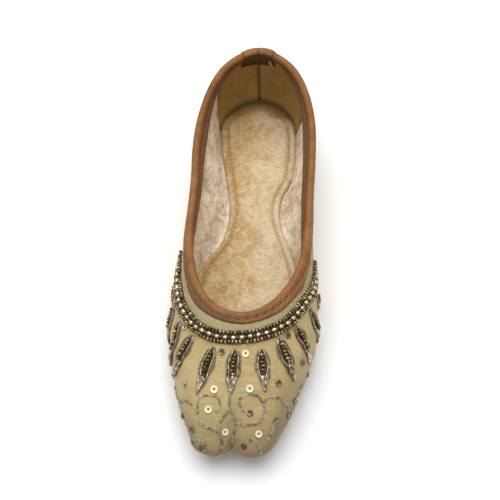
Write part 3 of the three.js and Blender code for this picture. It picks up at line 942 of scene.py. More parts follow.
def sock():
    """The padded velvet sock and the stitches along both sides of its border."""
    rows, tones = sock_rows()
    floor = rows[-1].copy()
    floor[:, 2] = floor_height(floor[:, 1])
    under = [floor + (0, 0, 0.15), sock_seam + (0, 0, 0.15), sock_seam + (0, 0, FLOOR_PILE - 0.3)]
    tone = np.concatenate([np.zeros((len(under), len(sock_seam))), tones])
    piece = finished(skin("sock_pad", [*under, *rows], SOCK_VELVET, tone, ends=True), "sock_velvet", "insole")
    stitches = []
    for row, lift in ((0, 0.15), (len(BORDER_ROWS) - 1, 0.12)):
        stitches += [(o, a, 1) for o, a in frames_along(closed(rows[row] + (0, 0, lift)), UP, QUILT)]
    finished(copies("sock_stitches", STITCH, stitches, PALE_THREAD), "thread")


GRIP_THICK = 0.7
GRIP_BACK = 0.3                # its back lies this far off the lining
GRIP_EDGE = 0.35               # and its face at the edges this far
GRIP_FOOT = (108, 3.2)         # its level foot lies this far under the sock's face at this y
GRIP_AT = 0.125                # share of the shoe's length that the grip's section lines span
GRIP_DROP = 3.0                # the grip starts this far below the edge
GRIP_SEAM = (0.055, 0.35)      # place across and depth of the seam
GRIP_WAVE = (0.15, 5, 4)

# Share of the shoe's length that the grip's edges reach on the medial and the lateral side, from the
# collar (0) down to the sock (1).
GRIP_EDGES = [(0.0, 0.045, 0.085), (0.3, 0.072, 0.115), (0.6, 0.092, 0.12), (1.0, 0.115, 0.118)]


def heel_grip():
    """Thin smooth leather round the inside of the heel, sewn up its middle."""
    spread = np.linspace(-1, 1, 61)
    lines = Lines(np.where(spread < 0, 1, -1), GRIP_AT * spread ** 2, round_foot=False)
    drop = np.linspace(0, 1, 31)
    low = lines.at_height(floor_height(GRIP_FOOT[0]) + SOCK_HIGH - GRIP_FOOT[1])
    top = lines.below_edge([GRIP_DROP])[0]
    outer, normals = (rows[::-1] for rows in lines.face(top + (low - top) * drop[::-1, None]))
    table = np.array(GRIP_EDGES)
    columns = np.linspace(-1, 1, 81)
    front, back, tone = [], [], []
    for p, n, s in zip(outer, normals, drop):
        medial, lateral = (np.sqrt(np.interp(s, table[:, 0], table[:, i]) / GRIP_AT) for i in (1, 2))
        places = np.where(columns < 0, columns * lateral, columns * medial)
        p, n = (np.stack([np.interp(places, spread, v[:, k]) for k in range(3)], axis=1) for v in (p, n))
        n = unit(n)
        seam = hump((places - GRIP_SEAM[0] * (1 - s / 3)) * 34, 1)
        edge = 1 - (np.abs(columns) ** 24)
        wave = lumps(p * (1, 1, 0.25), GRIP_WAVE)
        deep = WALL + GRIP_EDGE + GRIP_THICK * edge - GRIP_SEAM[1] * seam + wave * edge
        front.append(p - n * deep[:, None])
        back.append(p - n * (WALL + GRIP_BACK))
        # Darker at its seam and side edges, with painted shade at its foot by the sock.
        tone.append(np.clip(0.85 * seam + 0.5 * smoothstep(0.86, 1.0, s) + 0.4 * (1 - edge), 0, 1))
    chains = np.array(front + back[::-1]).transpose(1, 0, 2)
    shades = np.array(tone + [0 * row for row in tone]).T
    finished(strap("heel_grip", chains[::-1], GRIP, shades[::-1]), "lining_leather")


# ---- Collar binding and heel tab ----------------------------------------------------------------

ROLL = 2.2                     # radius of the rolled edge about the wall's middle
NEAR = 0.3                     # the leather's inner face lies this far off the wall
STITCH_PITCH = 5.4
INSIDE_PITCH = 2.3
INSIDE_END = 104               # the inside stitches stop at this y, under the heel tab
STITCH_DOWNS = (2.3, 1.8, 1.3)  # below the edge: the inside stitches at the first, the others at the second
BINDING_LUMPS = ((0.13, 9, 7), (0.06, 2.5, 8))

# Outer flange, from its foot up: distance below the edge, and height over the silk.
FLANGE_OUTSIDE = [
    (4.5, 0.4), (4.35, 0.85), (3.7, 1.15), (2.7, 1.1), (2.0, 0.62), (1.6, 0.6), (1.15, 0.9), (0.6, 1.0),
]
# Inner flange, from the roll down to its foot: distance below the edge, and height over the lining.
FLANGE_INSIDE = [
    (0.8, 1.0), (1.8, 1.1), (2.4, 0.8), (2.8, 0.8), (3.4, 1.1), (4.6, 1.05), (5.3, 0.9), (5.5, 0.45),
]
GROOVES = (1.6, 2.0, 2.4, 2.8)
GROOVE_PULL = 2.5              # the stitches pull more at the sewn grooves
FLANGE_PULL = 0.8              # than beside them
ROLL_ANGLES = (15, 38, 62, 90, 118, 142, 165)
CORE_ANGLES = (170, 130, 90, 50, 10)
FLANGE_WIDER = 0.9             # how much further down the flanges reach at the sides
WIDER_FRONT = (-56, -40)       # y over which this comes in behind the throat
WIDER_BACK = (60, 100)         # and goes before the heel
LOOSE = (1.7, 2.5)             # how far the inner flange's foot stands off the lining: medial, lateral
LOOSE_SIDE = (10, 25)          # distances from the middle over which this comes in
LOOSE_FRONT = (-48, -20)       # and y over which it does
HEEL_PEAK = 1.7                # the tab pulls the binding up at the heel
PEAK_WIDTH = 10
PEAK_FROM = 60                 # only behind this y


def edge_frame(lines):
    """The collar edge: points, outward and upward directions, and how square the section lines meet it."""
    points, normals = lines.face(lines.below_edge([1.0, 0.5, 0.0]))
    along = unit(np.gradient(points[2], axis=0))
    rise = unit(points[2] - points[0])
    up = unit(rise - along * (rise * along).sum(axis=1, keepdims=True))
    slant = np.maximum(0.3, (rise * up).sum(axis=1))
    return points[2], normals[1], up, slant


def folded(lines, outside, inside, roll, near, swell, pull=0.0):
    """Closed outlines of a strap folded over the collar edge, one for each section line."""
    edge, out, up, slant = edge_frame(lines)
    downs = sorted({d for d, _ in outside + inside}, reverse=True)
    past = np.clip((np.array(downs) - GROOVES[-1]) / 2, 0, 1)
    x, y = edge[:, 0], edge[:, 1]
    wide = FLANGE_WIDER * smoothstep(*WIDER_FRONT, y) * (1 - smoothstep(*WIDER_BACK, y))
    points, normals = lines.face(lines.below_edge((np.array(downs)[:, None] + past[:, None] * wide) / slant))
    peak = HEEL_PEAK * hump(x, PEAK_WIDTH) * (y > PEAK_FROM)
    core = edge - out * WALL / 2 + up * peak[:, None]
    loose = np.where(x < 0, *LOOSE) * smoothstep(*LOOSE_SIDE, np.abs(x)) * smoothstep(*LOOSE_FRONT, y)

    def off(down, high):
        """Points this far down the face, moved out by high."""
        row = downs.index(down)
        return points[row] + normals[row] * np.broadcast_to(high, len(edge))[:, None]

    def arc(radius, degrees):
        a = math.radians(degrees)
        return core + (out * math.cos(a) + up * math.sin(a)) * np.broadcast_to(radius, len(edge))[:, None]

    chain = [off(d, h + swell + pull * (GROOVE_PULL if d in GROOVES else FLANGE_PULL)) for d, h in outside]
    chain += [arc(roll + swell, a) for a in ROLL_ANGLES]
    chain += [off(d, -(WALL + h + loose * np.clip((d - 1.8) / 3, 0, 1) + swell * 0.5)) for d, h in inside]
    chain.append(off(inside[-1][0], -(WALL + near + loose)))
    chain += [arc(WALL / 2 + near, a) for a in CORE_ANGLES]
    chain.append(off(outside[0][0], near))
    return np.stack(chain, axis=1)


def binding_tone(sections, count):
    """Shades of the binding: painted shade in its grooves and inside the shoe, and darker on the medial
    front.
    """
    x, y = collar_edge[:, 0], collar_edge[:, 1]
    medial_front = smoothstep(4, -8, x) * smoothstep(-4, -18, y)
    outside = len(FLANGE_OUTSIDE)
    inside = outside + len(ROLL_ANGLES)
    tone = np.zeros((sections, count))
    tone[:, :outside - 2] = (0.15 + 0.55 * medial_front)[:, None]
    # Painted shade in the groove between the roll and the flange.
    tone[:, outside - 4:outside - 2] += 0.35
    # Painted shade over the inner face inside the shoe, more on the lateral side, most in its groove.
    tone[:, inside:] = (0.55 + 0.25 * smoothstep(0, 20, x))[:, None]
    tone[:, inside + 2:inside + 4] = 0.8
    return tone


def binding():
    """The leather folded over the collar edge, sewn through from both sides."""
    front = smoothstep(6, -22, collar_edge[:, 1])
    along = run_length(closed(collar_edge))[:-1]
    pull = 0.2 * np.cos(2 * np.pi * along / STITCH_PITCH) * (0.3 + 0.7 * front)
    swell = lumps(collar_edge, *BINDING_LUMPS)
    chains = folded(foot, FLANGE_OUTSIDE, FLANGE_INSIDE, ROLL, NEAR, swell, pull)
    tone = binding_tone(*chains.shape[:2])
    piece = skin("collar_binding_leather", chains.transpose(1, 0, 2), BINDING, tone.T)
    finished(piece, "binding_leather", "collar_binding")
    rng = random.Random(3)
    rings, outward = foot.face(foot.below_edge(np.array(STITCH_DOWNS)[:, None] / edge_frame(foot)[3]))
    out = closed(outward[1])
    frames = frames_along(closed(rings[1]) + out * 0.72, out, STITCH_PITCH, STITCH_PITCH / 2)
    places = [(o, a, (1.5, 1.7, rng.uniform(0.9, 1.2))) for o, a in frames]
    finished(copies("collar_stitches", STITCH, places, BROWN_THREAD), "thread")
    ring = closed(rings[0]) - closed(outward[0]) * (WALL + 0.9)
    frames = [(o, a) for o, a in frames_along(ring, -out, INSIDE_PITCH) if o[1] < INSIDE_END]
    places = [(o, a, (0.75, rng.uniform(0.8, 1.1), 0.9)) for o, a in frames]
    finished(copies("collar_stitches_inside", STITCH, places, PALE_THREAD), "thread")


TAB_AT = 0.0122                # share of the shoe's length that the tab reaches round the heel,
TAB_SIDES = (0.85, 1.5)        # times this on the lateral and on the medial side
TAB_ROLL = 2.95
TAB_NEAR = 1.42
TAB_SEAM = (0.14, 0.06)        # place and width of the seam across the tab
TAB_LUMPS = (0.06, 3, 6)
TAB_LIT = 5                    # points of the roll that are lit; past them the tab is painted dark as shade
TAB_STITCHES = ((4, 0.15), (6, -0.2), (3, 0.1))     # column of section lines, and lean
TAB_DOWNS = (8.5, 7.0, 5.5, 4.0, 2.5, 1.0)
TAB_OUTSIDE = [(9.0, 1.45), (8.8, 1.7), (7.5, 1.95), (5.0, 1.95), (3.0, 1.85), (1.5, 1.75)]
TAB_INSIDE = [(1.5, 1.85), (3.0, 1.95), (5.5, 1.95), (8.0, 1.9), (10.2, 1.7), (10.5, 1.45)]


def heel_tab():
    """A folded leather tab over the binding at the back, with a sewn middle."""
    spread = np.linspace(-1, 1, 41)
    at = TAB_AT * spread ** 2 * np.where(spread < 0, *TAB_SIDES)
    lines = Lines(np.where(spread < 0, 1, -1), at, round_foot=False)
    seam = hump(spread - TAB_SEAM[0], TAB_SEAM[1])
    ends = np.abs(spread) ** 20
    swell = -0.45 * seam - 0.5 * ends + lumps(edge_frame(lines)[0], TAB_LUMPS)
    chains = folded(lines, TAB_OUTSIDE, TAB_INSIDE, TAB_ROLL, TAB_NEAR, swell)
    tone = np.repeat((0.9 * seam + 0.3 * ends)[:, None], chains.shape[1], axis=1)
    # Painted shade over the tab's inner part, inside the shoe.
    tone[:, len(TAB_OUTSIDE) + TAB_LIT:] = 1.0
    finished(strap("heel_tab_leather", chains, TAB, tone), "tab_leather", "heel_tab")
    rng = random.Random(5)
    places = []
    points, normals = lines.face(lines.below_edge(TAB_DOWNS))
    for column, tilt in TAB_STITCHES:
        for r in range(len(TAB_DOWNS) - 1):
            up = unit(points[r + 1, column] - points[r, column])
            out = -normals[r, column]
            ahead = unit(up + unit(np.cross(out, up)) * (tilt + rng.uniform(-0.2, 0.2)))
            axes = np.stack([ahead, unit(np.cross(out, ahead)), out])
            places.append((points[r, column] + out * (WALL + 2.15), axes, (1.0, 0.8, 0.8)))
    finished(copies("heel_tab_stitches", STITCH, places, PALE_THREAD), "thread")


# ---- Sole and heel ------------------------------------------------------------------------------

GROOVE = 4.0                   # the sole's seam channel, in from its edge
SOLE_STITCH = 3.6

# The sole's profile from the underside round its edge to the top: distance in from the edge,
# height over the underside, and shade.
SOLE_PROFILE = [
    (9.0, 0, 0), (5.0, 0, 0), (4.3, 0, 0.2), (4.15, 0.45, 0.9), (3.85, 0.45, 0.9), (3.7, 0, 0.2),
    (1.4, 0, 0.1), (0.6, 0.12, 0.6), (0.15, 0.55, 0.8), (0, 1.2, 0.8),
    (0, 2.5, 0.7), (0.12, 3.0, 0.7), (0.5, SOLE_THICK, 0.4), (3, SOLE_THICK, 0),
]


def inset_edge(d):
    """The sole's outline moved in by d."""
    return lower_edge - lower_out * (SOLE_INSET + d)


def toward_middle(row, share):
    """An outline drawn in towards the shoe's long middle line."""
    stops = row[:, 1].min() + END_RADIUS, row[:, 1].max() - END_RADIUS
    middle = np.stack([np.full(len(row), MIDDLE_X), np.clip(row[:, 1], *stops), row[:, 2]], axis=1)
    return middle + (row - middle) * share


def outsole():
    """Leather sole: rounded waxed edge and a sewn channel in its underside."""
    first, last = inset_edge(SOLE_PROFILE[0][0]), inset_edge(SOLE_PROFILE[-1][0])
    rows = [(toward_middle(first, share), 0, 0) for share in (0, 0.5, 0.85)]
    rows += [(inset_edge(d), rise, shade) for d, rise, shade in SOLE_PROFILE]
    rows += [(toward_middle(last, share), SOLE_THICK, 0) for share in (0.6, 0)]
    loops, tone = rows_of([(row, sole_under(row[:, 1]) + rise, shade) for row, rise, shade in rows])
    finished(skin("outsole_leather", loops, SOLE, tone, ends=True), "sole_leather", "outsole")
    line = inset_edge(GROOVE)
    line[:, 2] = sole_under(line[:, 1]) + 0.3
    frames = frames_along(closed(line), DOWN, SOLE_STITCH)
    places = [(o, a, (1.3, 1.2, 1.0)) for o, a in frames if o[1] < HEEL_FRONT - 2]
    finished(copies("sole_stitches", STITCH, places, PALE_THREAD), "thread")


HEEL_LAYERS = 3
LAYER_GROOVE = 0.22            # depth of the groove between two layers
GROOVE_FLOOR = 0.08            # half its width at the bottom
GROOVE_MOUTH = 0.25            # and at the face
NAIL_PITCH = 11
NAIL_INSET = 4.0

# A nail's low head: height and radius of its outline.
NAIL = upright(turned([(-0.3, 0.9), (-0.05, 0.9), (0.03, 0.6), (0.05, 0.1), (-0.3, 0.1)], 10))


def heel_outline(d):
    """The heel's outline moved in by d: round the back, and a curved front."""
    edge = inset_edge(HEEL_INSET + d)
    behind = edge[:, 1] > HEEL_FRONT + 1 + d
    medial = edge[:SIDE_LINES][behind[:SIDE_LINES]]
    lateral = edge[SIDE_LINES:][behind[SIDE_LINES:]]
    back = evenly(np.concatenate([lateral, medial]), 120)
    middle = np.array([(back[0, 0] + back[-1, 0]) / 2, HEEL_FRONT + 6 + d, 0])
    front = bent(back[-1], middle, back[0], np.linspace(0, 1, 26)[1:-1, None])
    return np.concatenate([back, front]) * (1, 1, 0)


def heel():
    """Stacked leather heel: layers parted by fine grooves."""
    tall = sole_under(100) - GAP
    steps = [(0.5, 0, 0.3), (0.1, 0.3, 0.6)]
    for k in range(1, HEEL_LAYERS):
        z, shade = tall / HEEL_LAYERS * k, 0.25 * k
        steps += [(0, z - GROOVE_MOUTH, shade), (LAYER_GROOVE, z - GROOVE_FLOOR, 1)]
        steps += [(LAYER_GROOVE, z + GROOVE_FLOOR, 1), (0, z + GROOVE_MOUTH, shade)]
    steps += [(0, tall - 0.3, 0.3), (0.3, tall, 0.5)]
    outline = heel_outline(0.5)
    centre = outline.mean(axis=0)
    levels = [(centre + (outline - centre) * share, 0, 0) for share in (0, 0.5, 0.9)]
    levels += [(heel_outline(d), z, shade) for d, z, shade in steps]
    levels += [(centre + (outline - centre) * share, tall, 0) for share in (0.5, 0)]
    loops, tone = rows_of(levels)
    finished(skin("heel_stack", loops, HEEL, tone, ends=True), "heel_leather", "heel_lift")
    places = [(o, a, 1) for o, a in frames_along(heel_outline(NAIL_INSET), DOWN, NAIL_PITCH)]
    finished(copies("heel_nails", NAIL, places, GOLD), "antique_gold")


# ---- Seams of the cover -------------------------------------------------------------------------

SIDE_SEAM_AT = 0.535           # share of the shoe's length where the quarters meet the vamp
SEAM_LOW = 0.02                # the seams start at this share of the wall's height
SIDE_PIPING = (1.1, 0.15, 0.5)  # radius, height over the silk, and how flat
BACK_STRIP = (1.5, 0.1, 0.4)


def seam_line(side, at, high):
    """Points up one section line, seated on the silk."""
    lines = Lines(np.full(3, side), at + np.array([-0.002, 0, 0.002]), round_foot=False)
    points, _ = lines.face(np.linspace(SEAM_LOW, high, 60))
    return seat(points[:, 1])[0]


def piping(points, normals, radius, high, flat):
    return tube(points + normals * high, radius, normals, flat)


def seams():
    """Flat piping where the quarters meet the vamp, and a strip up the back."""
    forms = []
    for side in (-1, 1):
        points = seam_line(side, SIDE_SEAM_AT, 0.9)
        forms.append(piping(points, seat(points)[1], *SIDE_PIPING))
    finished(new_object("side_seams", *joined(forms), SILK, weld=True), "upper_silk")
    points = seam_line(-1, 0.0, 0.8)
    points[:, 0] = 0
    back = piping(points, seat(points)[1] * (0, 1, 1), *BACK_STRIP)
    finished(new_object("back_seam", *back, BINDING, weld=True), "binding_leather")


# ---- Embroidery ---------------------------------------------------------------------------------

# The beadwork band's middle, from the medial side round the throat to the lateral side.
BAND = [
    (-37.3, -12, 30.5), (-36.6, -24, 32), (-35.8, -35, 33.6), (-33.8, -45, 35.2), (-29.3, -54.5, 37.5),
    (-22.9, -62.4, 40), (-14, -67.9, 42), (-5, -69.3, 43), (3.5, -68.7, 43.2), (12.3, -66.4, 42.8),
    (20.4, -62.1, 41.8), (26.6, -56.3, 40.2), (31.3, -48.7, 38.5), (35.5, -40, 35.8), (38.2, -31, 32.2),
    (39, -22, 30), (39.5, -12, 28),
]
BAND_HALF = 3.7
BAND_STEPS = 150
BAND_HIGH = 0.3
BEAD_ROW = 2.6                 # the gold rows lie this far from the band's middle
STRIP_HIGH = 0.35
STRIP_END = -6                 # y of the collar edge where the sage strip starts
STRIP_TOPS = (5.5, 4.4)        # distances below the edge; the strip starts at the second


def band_line(offset):
    """A line beside the band's middle, on the silk; offset is towards the toe. With normals."""
    middle, normals = seat(smooth_curves(np.array([BAND], float), 16)[0])
    ahead = unit(np.gradient(middle, axis=0))
    points, normals = seat(middle + unit(np.cross(ahead, normals)) * offset)
    both = evenly(np.concatenate([points, normals], axis=1), BAND_STEPS)
    return both[:, :3], unit(both[:, 3:])


def ribbon(lines, high):
    """Points and faces of a flat band on the silk through lines of (points, normals) across it."""
    tops, feet = [], []
    for k, (points, normals) in enumerate(lines):
        end = k in (0, len(lines) - 1)
        tops.append(points + normals * (high * (0.5 if end else 1.0)))
        feet.append(points + normals * 0.03)
    grid = np.array(tops + feet[::-1]).transpose(1, 0, 2)[::-1]
    sections, count = grid.shape[:2]
    k = np.arange(count // 2 - 1)
    cap = np.stack([k, k + 1, count - 2 - k, count - 1 - k], axis=1)
    faces = [grid_faces(sections, count)[:, ::-1], cap, cap[:, ::-1] + (sections - 1) * count]
    return grid.reshape(-1, 3), np.concatenate(faces)


def strip_lines(shares):
    """Lines between the binding's foot and the band, seated on the silk."""
    tops = foot.face(foot.below_edge(np.array(STRIP_TOPS)[:, None] / edge_frame(foot)[3]))[0]
    lower = band_line(-BAND_HALF + 0.4)[0]
    upper = evenly(tops[1][collar_edge[:, 1] < STRIP_END], len(lower))
    return [seat(upper * (1 - share) + lower * share) for share in shares]


BEAD = turned(ring_profile(0.52, 0.38, 0.64, 8), 12)
BEAD_PITCH = 1.95
BEAD_HIGH = 0.95               # height of the beads' middles over the braid
PEARL_HIGH = 1.1
BEAD_SHADES = (0.1, 0.3, 0.5, 0.8)
SAG = 0.28                     # a gold row sags this far between its couching threads
PEARL = turned([
    (-1.5, 0.32), (-1.3, 0.78), (-0.8, 1.06), (0, 1.16), (0.8, 1.06), (1.3, 0.78), (1.5, 0.32), (0, 0.26),
], 16)
PEARL_PITCH = 4.45
COUCHED = 9                    # beads from one couching thread to the next


def bead_rows():
    """Couched rows of dark gold beads with a row of pale oval beads between them."""
    rng = random.Random(11)
    strip = ribbon(strip_lines((0, 0.2, 0.4, 0.6, 0.8, 1)), STRIP_HIGH)
    finished(new_object("sage_strip", *strip, SAGE), "upper_silk")
    # A dark ground under the band: painted shade between its beads.
    ground = ribbon([band_line(BAND_HALF * s) for s in (-1, -0.6, -0.2, 0.2, 0.6, 1)], BAND_HIGH)
    finished(new_object("bead_ground", *ground, SHADE_GROUND), "thread")
    places, shades, pearls = [], [], []
    for offset in (-BEAD_ROW, BEAD_ROW):
        frames = frames_along(*band_line(offset), BEAD_PITCH, rng.uniform(0.3, 0.9))
        for i, (o, a) in enumerate(frames):
            if i % COUCHED == COUCHED - 1 and rng.random() < 0.5:
                continue
            sag = SAG * math.sin(math.pi * (i % COUCHED) / COUCHED) - 0.1 + rng.uniform(-0.16, 0.16)
            o = o + a[1] * sag + a[2] * (BAND_HIGH + BEAD_HIGH + rng.uniform(-0.1, 0.12))
            size = rng.uniform(1.06, 1.24)
            places.append((o, tilted(a, rng, 0.2), (size, size * 1.12, size * 1.05)))
            shades.append(rng.choice(BEAD_SHADES))
    for o, a in frames_along(*band_line(0), PEARL_PITCH, 1.8):
        lift = a[2] * (BAND_HIGH + PEARL_HIGH) + a[1] * rng.uniform(-0.2, 0.2)
        pearls.append((o + lift, tilted(a, rng, 0.12), rng.uniform(0.94, 1.08)))
        beside = o + a[0] * PEARL_PITCH / 2 + a[2] * 1.15 + a[1] * rng.uniform(-0.2, 0.2)
        places.append((beside, tilted(a, rng, 0.2), (0.85, 1, 1)))
        shades.append(0.6)
    finished(copies("gold_beads", BEAD, places, GOLD, shades), "antique_gold")
    finished(copies("silver_beads", PEARL, pearls, SILVER), "silver_metal")


SAGE_ROWS = ((0.3, 3.3, 0.45), (0.62, 2.7, 0.5), (0.9, 1.9, 0.7))     # share across, pitch, size


def sage_stitches():
    """Small light stitches in three rows on the sage strip."""
    rng = random.Random(17)
    places = []
    for share, pitch, size in SAGE_ROWS:
        for o, a in frames_along(*strip_lines([share])[0], pitch, rng.uniform(0, pitch)):
            o = o + a[1] * rng.uniform(-0.4, 0.4) + a[0] * rng.uniform(-0.5, 0.5) + a[2] * 0.45
            places.append((o, tilted(a, rng, 0.7), (size, size * 1.4, size)))
    finished(copies("sage_stitches", STITCH, places, PALE_THREAD), "thread")


# The bullion leaves under the beadwork: top and tip.
LEAVES = [
    ((-40.0, -28.0, 24.0), (-40.5, -40.0, 6.5)),
    ((-38.0, -43.5, 28.5), (-42.0, -61.0, 11.0)),
    ((-33.0, -57.0, 33.7), (-38.7, -76.0, 16.5)),
    ((-25.0, -66.8, 37.4), (-33.8, -84.0, 20.5)),
    ((-12.9, -74.3, 40.5), (-20.1, -98.1, 31.1)),
    ((-1.0, -75.2, 41.3), (-2.1, -98.2, 33.1)),
    ((12.9, -74.0, 40.6), (16.2, -95.2, 33.4)),
    ((21.6, -67.0, 40.1), (31.0, -85.6, 26.9)),
    ((30.4, -57.8, 37.2), (39.4, -71.5, 19.5)),
    ((37.5, -44.4, 32.4), (43.0, -54.0, 10.0)),
    ((41.5, -28.0, 23.0), (41.0, -36.0, 5.5)),
]
LEAF_LEAN = 0.7                # below 1 a leaf is widest nearer its top
LEAF_HALF = 3.3                # half a leaf's width at its widest
LEAF_FULL = 22                 # a shorter leaf is narrower in proportion
STRAND = 0.44                  # radius of a bullion strand
COIL = 0.42                    # half the pitch of its coils
LEAF_BEADS = (0.13, 0.60)      # the beads lie between these shares of a leaf
LEAF_BEAD_PITCH = 2.05
LEAF_BEAD_HIGH = 1.35
LEAF_BEAD_SHADES = (0.2, 0.5, 0.7, 0.9)
LEAF_FELT = 0.22               # thickness of the dark ground, painted shade, under a leaf


def leaf_line(top, tip, t):
    """A leaf's middle on the silk at shares t: points, directions ahead and across, and normals."""
    middle, normals = seat(np.array(top) + np.subtract(tip, top) * t[:, None])
    ahead = unit(np.gradient(middle, axis=0))
    return middle, ahead, unit(np.cross(normals, ahead)), normals


def bow(width, early):
    """How far a strand along a leaf's edge lies beside its middle, at shares t."""
    return lambda t: width * np.sin(np.pi * t ** LEAF_LEAN) + early * (1 - t)


def tail(width, turns, phase):
    """The same for a strand that winds about the middle."""
    return lambda t: width * np.sin(np.pi * t ** LEAF_LEAN) * np.cos(2 * np.pi * (turns * t + phase))


def leaf_strand(leaf, offset, start, end, radius, lift, rng):
    """One coiled strand of a leaf; offset(t) is how far it lies beside the leaf's middle."""
    t = np.linspace(start, end, 30)
    middle, _, across, _ = leaf_line(*leaf, t)
    phase = rng.random()
    wave = 2 * np.pi * (t * rng.uniform(1.8, 2.9) + phase)
    loose = rng.uniform(0.22, 0.36) + 0.3 * smoothstep(0.5, 0.75, t)
    beside = offset(t) + loose * np.sin(wave) * np.sin(np.pi * t)
    path, normals = seat(middle + across * beside[:, None])
    high = lift + 0.28 * smoothstep(0.45, 0.7, t) * (1 + np.cos(wave))
    count = max(8, int(run_length(path)[-1] / COIL))
    every = evenly(np.concatenate([path, normals, high[:, None]], axis=1), count)
    path, normals, high = every[:, :3], unit(every[:, 3:6]), every[:, 6:]
    radii = radius * np.where(np.arange(count) % 2 == 0, 1.1, 0.78)
    return tube(path + normals * (high + radius * 0.8), radii, normals)


def leaf_ground(leaf, wide):
    """The dark ground under a leaf: painted shade between its strands and beads."""
    t = np.linspace(0.02, 0.97, 16)
    middle, _, across, _ = leaf_line(*leaf, t)
    span = (wide - 0.5) * np.sin(np.pi * t ** LEAF_LEAN)
    return ribbon([seat(middle + across * (span * s)[:, None]) for s in (-1, -0.5, 0, 0.5, 1)], LEAF_FELT)


def leaves():
    """Leaves of coiled metal wire round a column of dark gold beads."""
    rng = random.Random(23)
    silver, taupe, beads, shades, grounds = [], [], [], [], []
    for leaf in LEAVES:
        long = np.linalg.norm(np.subtract(*leaf))
        wide = LEAF_HALF * min(1.0, long / LEAF_FULL) * rng.uniform(0.94, 1.08)
        grounds.append(leaf_ground(leaf, wide))
        for side in (-1, 1):
            # Where each strand lies, from which share of the leaf to which, its thickness and height.
            for wires, offset, start, end, thick, lift in (
                (taupe, bow(side * wide, side * 0.4), 0.0, 1.0, 1.0, 0.1),
                (silver, bow(side * (wide - 1.05), side * 0.1), 0.02, 0.95, 0.92, 0.35),
                (taupe, tail(wide - 1.4, 0.9, 0.3 * side + 0.05), 0.58, 0.98, 0.85, 0.15),
                (silver, tail((wide - 1.2) * side, 1.1, 0.1), 0.56, 0.93, 0.8, 0.5),
            ):
                wires.append(leaf_strand(leaf, offset, start, end, STRAND * thick, lift, rng))
        silver.append(leaf_strand(leaf, tail(0.5, 1.3, 0.4), 0.62, 1.0, STRAND * 0.9, 0.45, rng))
        places = np.arange(*LEAF_BEADS, LEAF_BEAD_PITCH / long)
        for o, ahead, across, n in zip(*leaf_line(*leaf, places)):
            axes = np.stack([ahead, across, np.cross(ahead, across)])
            o = o + n * LEAF_BEAD_HIGH + across * rng.uniform(-0.4, 0.4)
            beads.append((o, tilted(axes, rng, 0.35), (1.15, 1.5, 1.3)))
            shades.append(rng.choice(LEAF_BEAD_SHADES))
    finished(new_object("leaf_grounds", *joined(grounds), SHADE_GROUND), "thread")
    finished(new_object("leaf_wires_silver", *joined(silver), WIRE), "silver_metal")
    finished(new_object("leaf_wires_taupe", *joined(taupe), TAUPE), "silver_metal")
    finished(copies("leaf_beads", BEAD, beads, GOLD, shades), "antique_gold")


# Chain-stitched scrolls on the toe, seen from above: points x, y of each stroke, with a height
# where the silk is steep.
SCROLLS = [
    [(-9.3, -106.6), (-7.3, -103.4), (-9.1, -99.8), (-13.8, -98.6), (-18.0, -99.8), (-19.4, -103.0),
     (-18.6, -108.8), (-16.6, -112.5), (-12.1, -114.6), (-8.1, -115.4)],
    [(-30.5, -98.5, 19), (-26.0, -99.2, 24), (-21.4, -102.5, 27)],
    [(-2.2, -99.5), (-2.2, -105.0)],
    [(-1.8, -105), (-6.5, -110.7), (-8.1, -115.4), (-5.4, -120.1), (-5.3, -124.0, 17)],
    [(-1.8, -105), (0.5, -108.3), (1.1, -112.5), (-0.2, -118.5), (-0.2, -121.6, 16)],
    [(8.9, -106.8), (5.2, -105.2), (3.0, -102), (3.8, -98.8), (8.5, -97.2), (12.8, -98.2), (15.5, -101.3),
     (16.5, -105.0), (14.6, -109.6), (11.1, -111.7), (6.1, -111.7), (1.6, -110.5)],
    [(16.3, -100.5), (18.0, -98.4), (21.7, -97.3), (25.7, -97.6), (28.8, -99, 22), (30.5, -103, 18)],
    [(-22, -120.5, 16), (-20.6, -119.3, 18.5), (-17.5, -119.2, 20), (-14.7, -121, 19.5), (-14.2, -124, 16)],
    [(8.5, -118.9, 21), (11.4, -117.7, 22), (14.1, -119.5, 20), (15.5, -122.4, 16)],
    [(18.5, -116, 20), (20.2, -112.7, 22), (20.6, -109.5, 23.5), (22.6, -106.6, 24)],
    [(-35.5, -88, 17), (-34.5, -93, 16), (-31.5, -97, 18)],
    [(36.5, -84, 18), (35, -90, 17), (31.8, -95, 19)],
]
LINK = 1.55                    # pitch of the chain stitch
LINK_HIGH = (0.26, 0.38)       # height of its links over the silk, by turns
LINK_SHADES = (0.0, 0.1, 0.3, 0.7, 1.0)


def loop_form(half_long, half_wide, wire, steps, sides):
    """A flat oval loop of wire in the XY plane."""
    a, b = circle(steps), -circle(sides)[None, :, None]
    out = np.stack([np.cos(a), np.sin(a), 0 * a], axis=1)
    middle = out * (half_long, half_wide, 0)
    loops = middle[:, None] + wire * (np.cos(b) * out[:, None] + np.sin(b) * np.array(UP))
    return loops.reshape(-1, 3), grid_faces(steps, sides, join_rows=True)


def scrolls():
    """Couched metal thread in loose chain stitches."""
    rng = random.Random(31)
    places, shades = [], []
    for stroke in SCROLLS:
        corners = np.array([p if len(p) == 3 else seat_below(*p)[0] for p in stroke], float)
        points, normals = seat(smooth_curves(corners[None], 24)[0])
        for i, (o, a) in enumerate(frames_along(points, normals, LINK, 0.3)):
            o = o + a[2] * LINK_HIGH[i % 2] + a[1] * rng.uniform(-0.22, 0.22)
            places.append((o, tilted(a, rng, 0.3), (rng.uniform(0.7, 1.0), rng.uniform(0.7, 1.15), 1)))
            shades.append(rng.choice(LINK_SHADES))
    form = loop_form(0.94, 0.44, 0.24, 10, 6)
    finished(copies("chain_scrolls", form, places, ZARI, shades), "silver_metal")


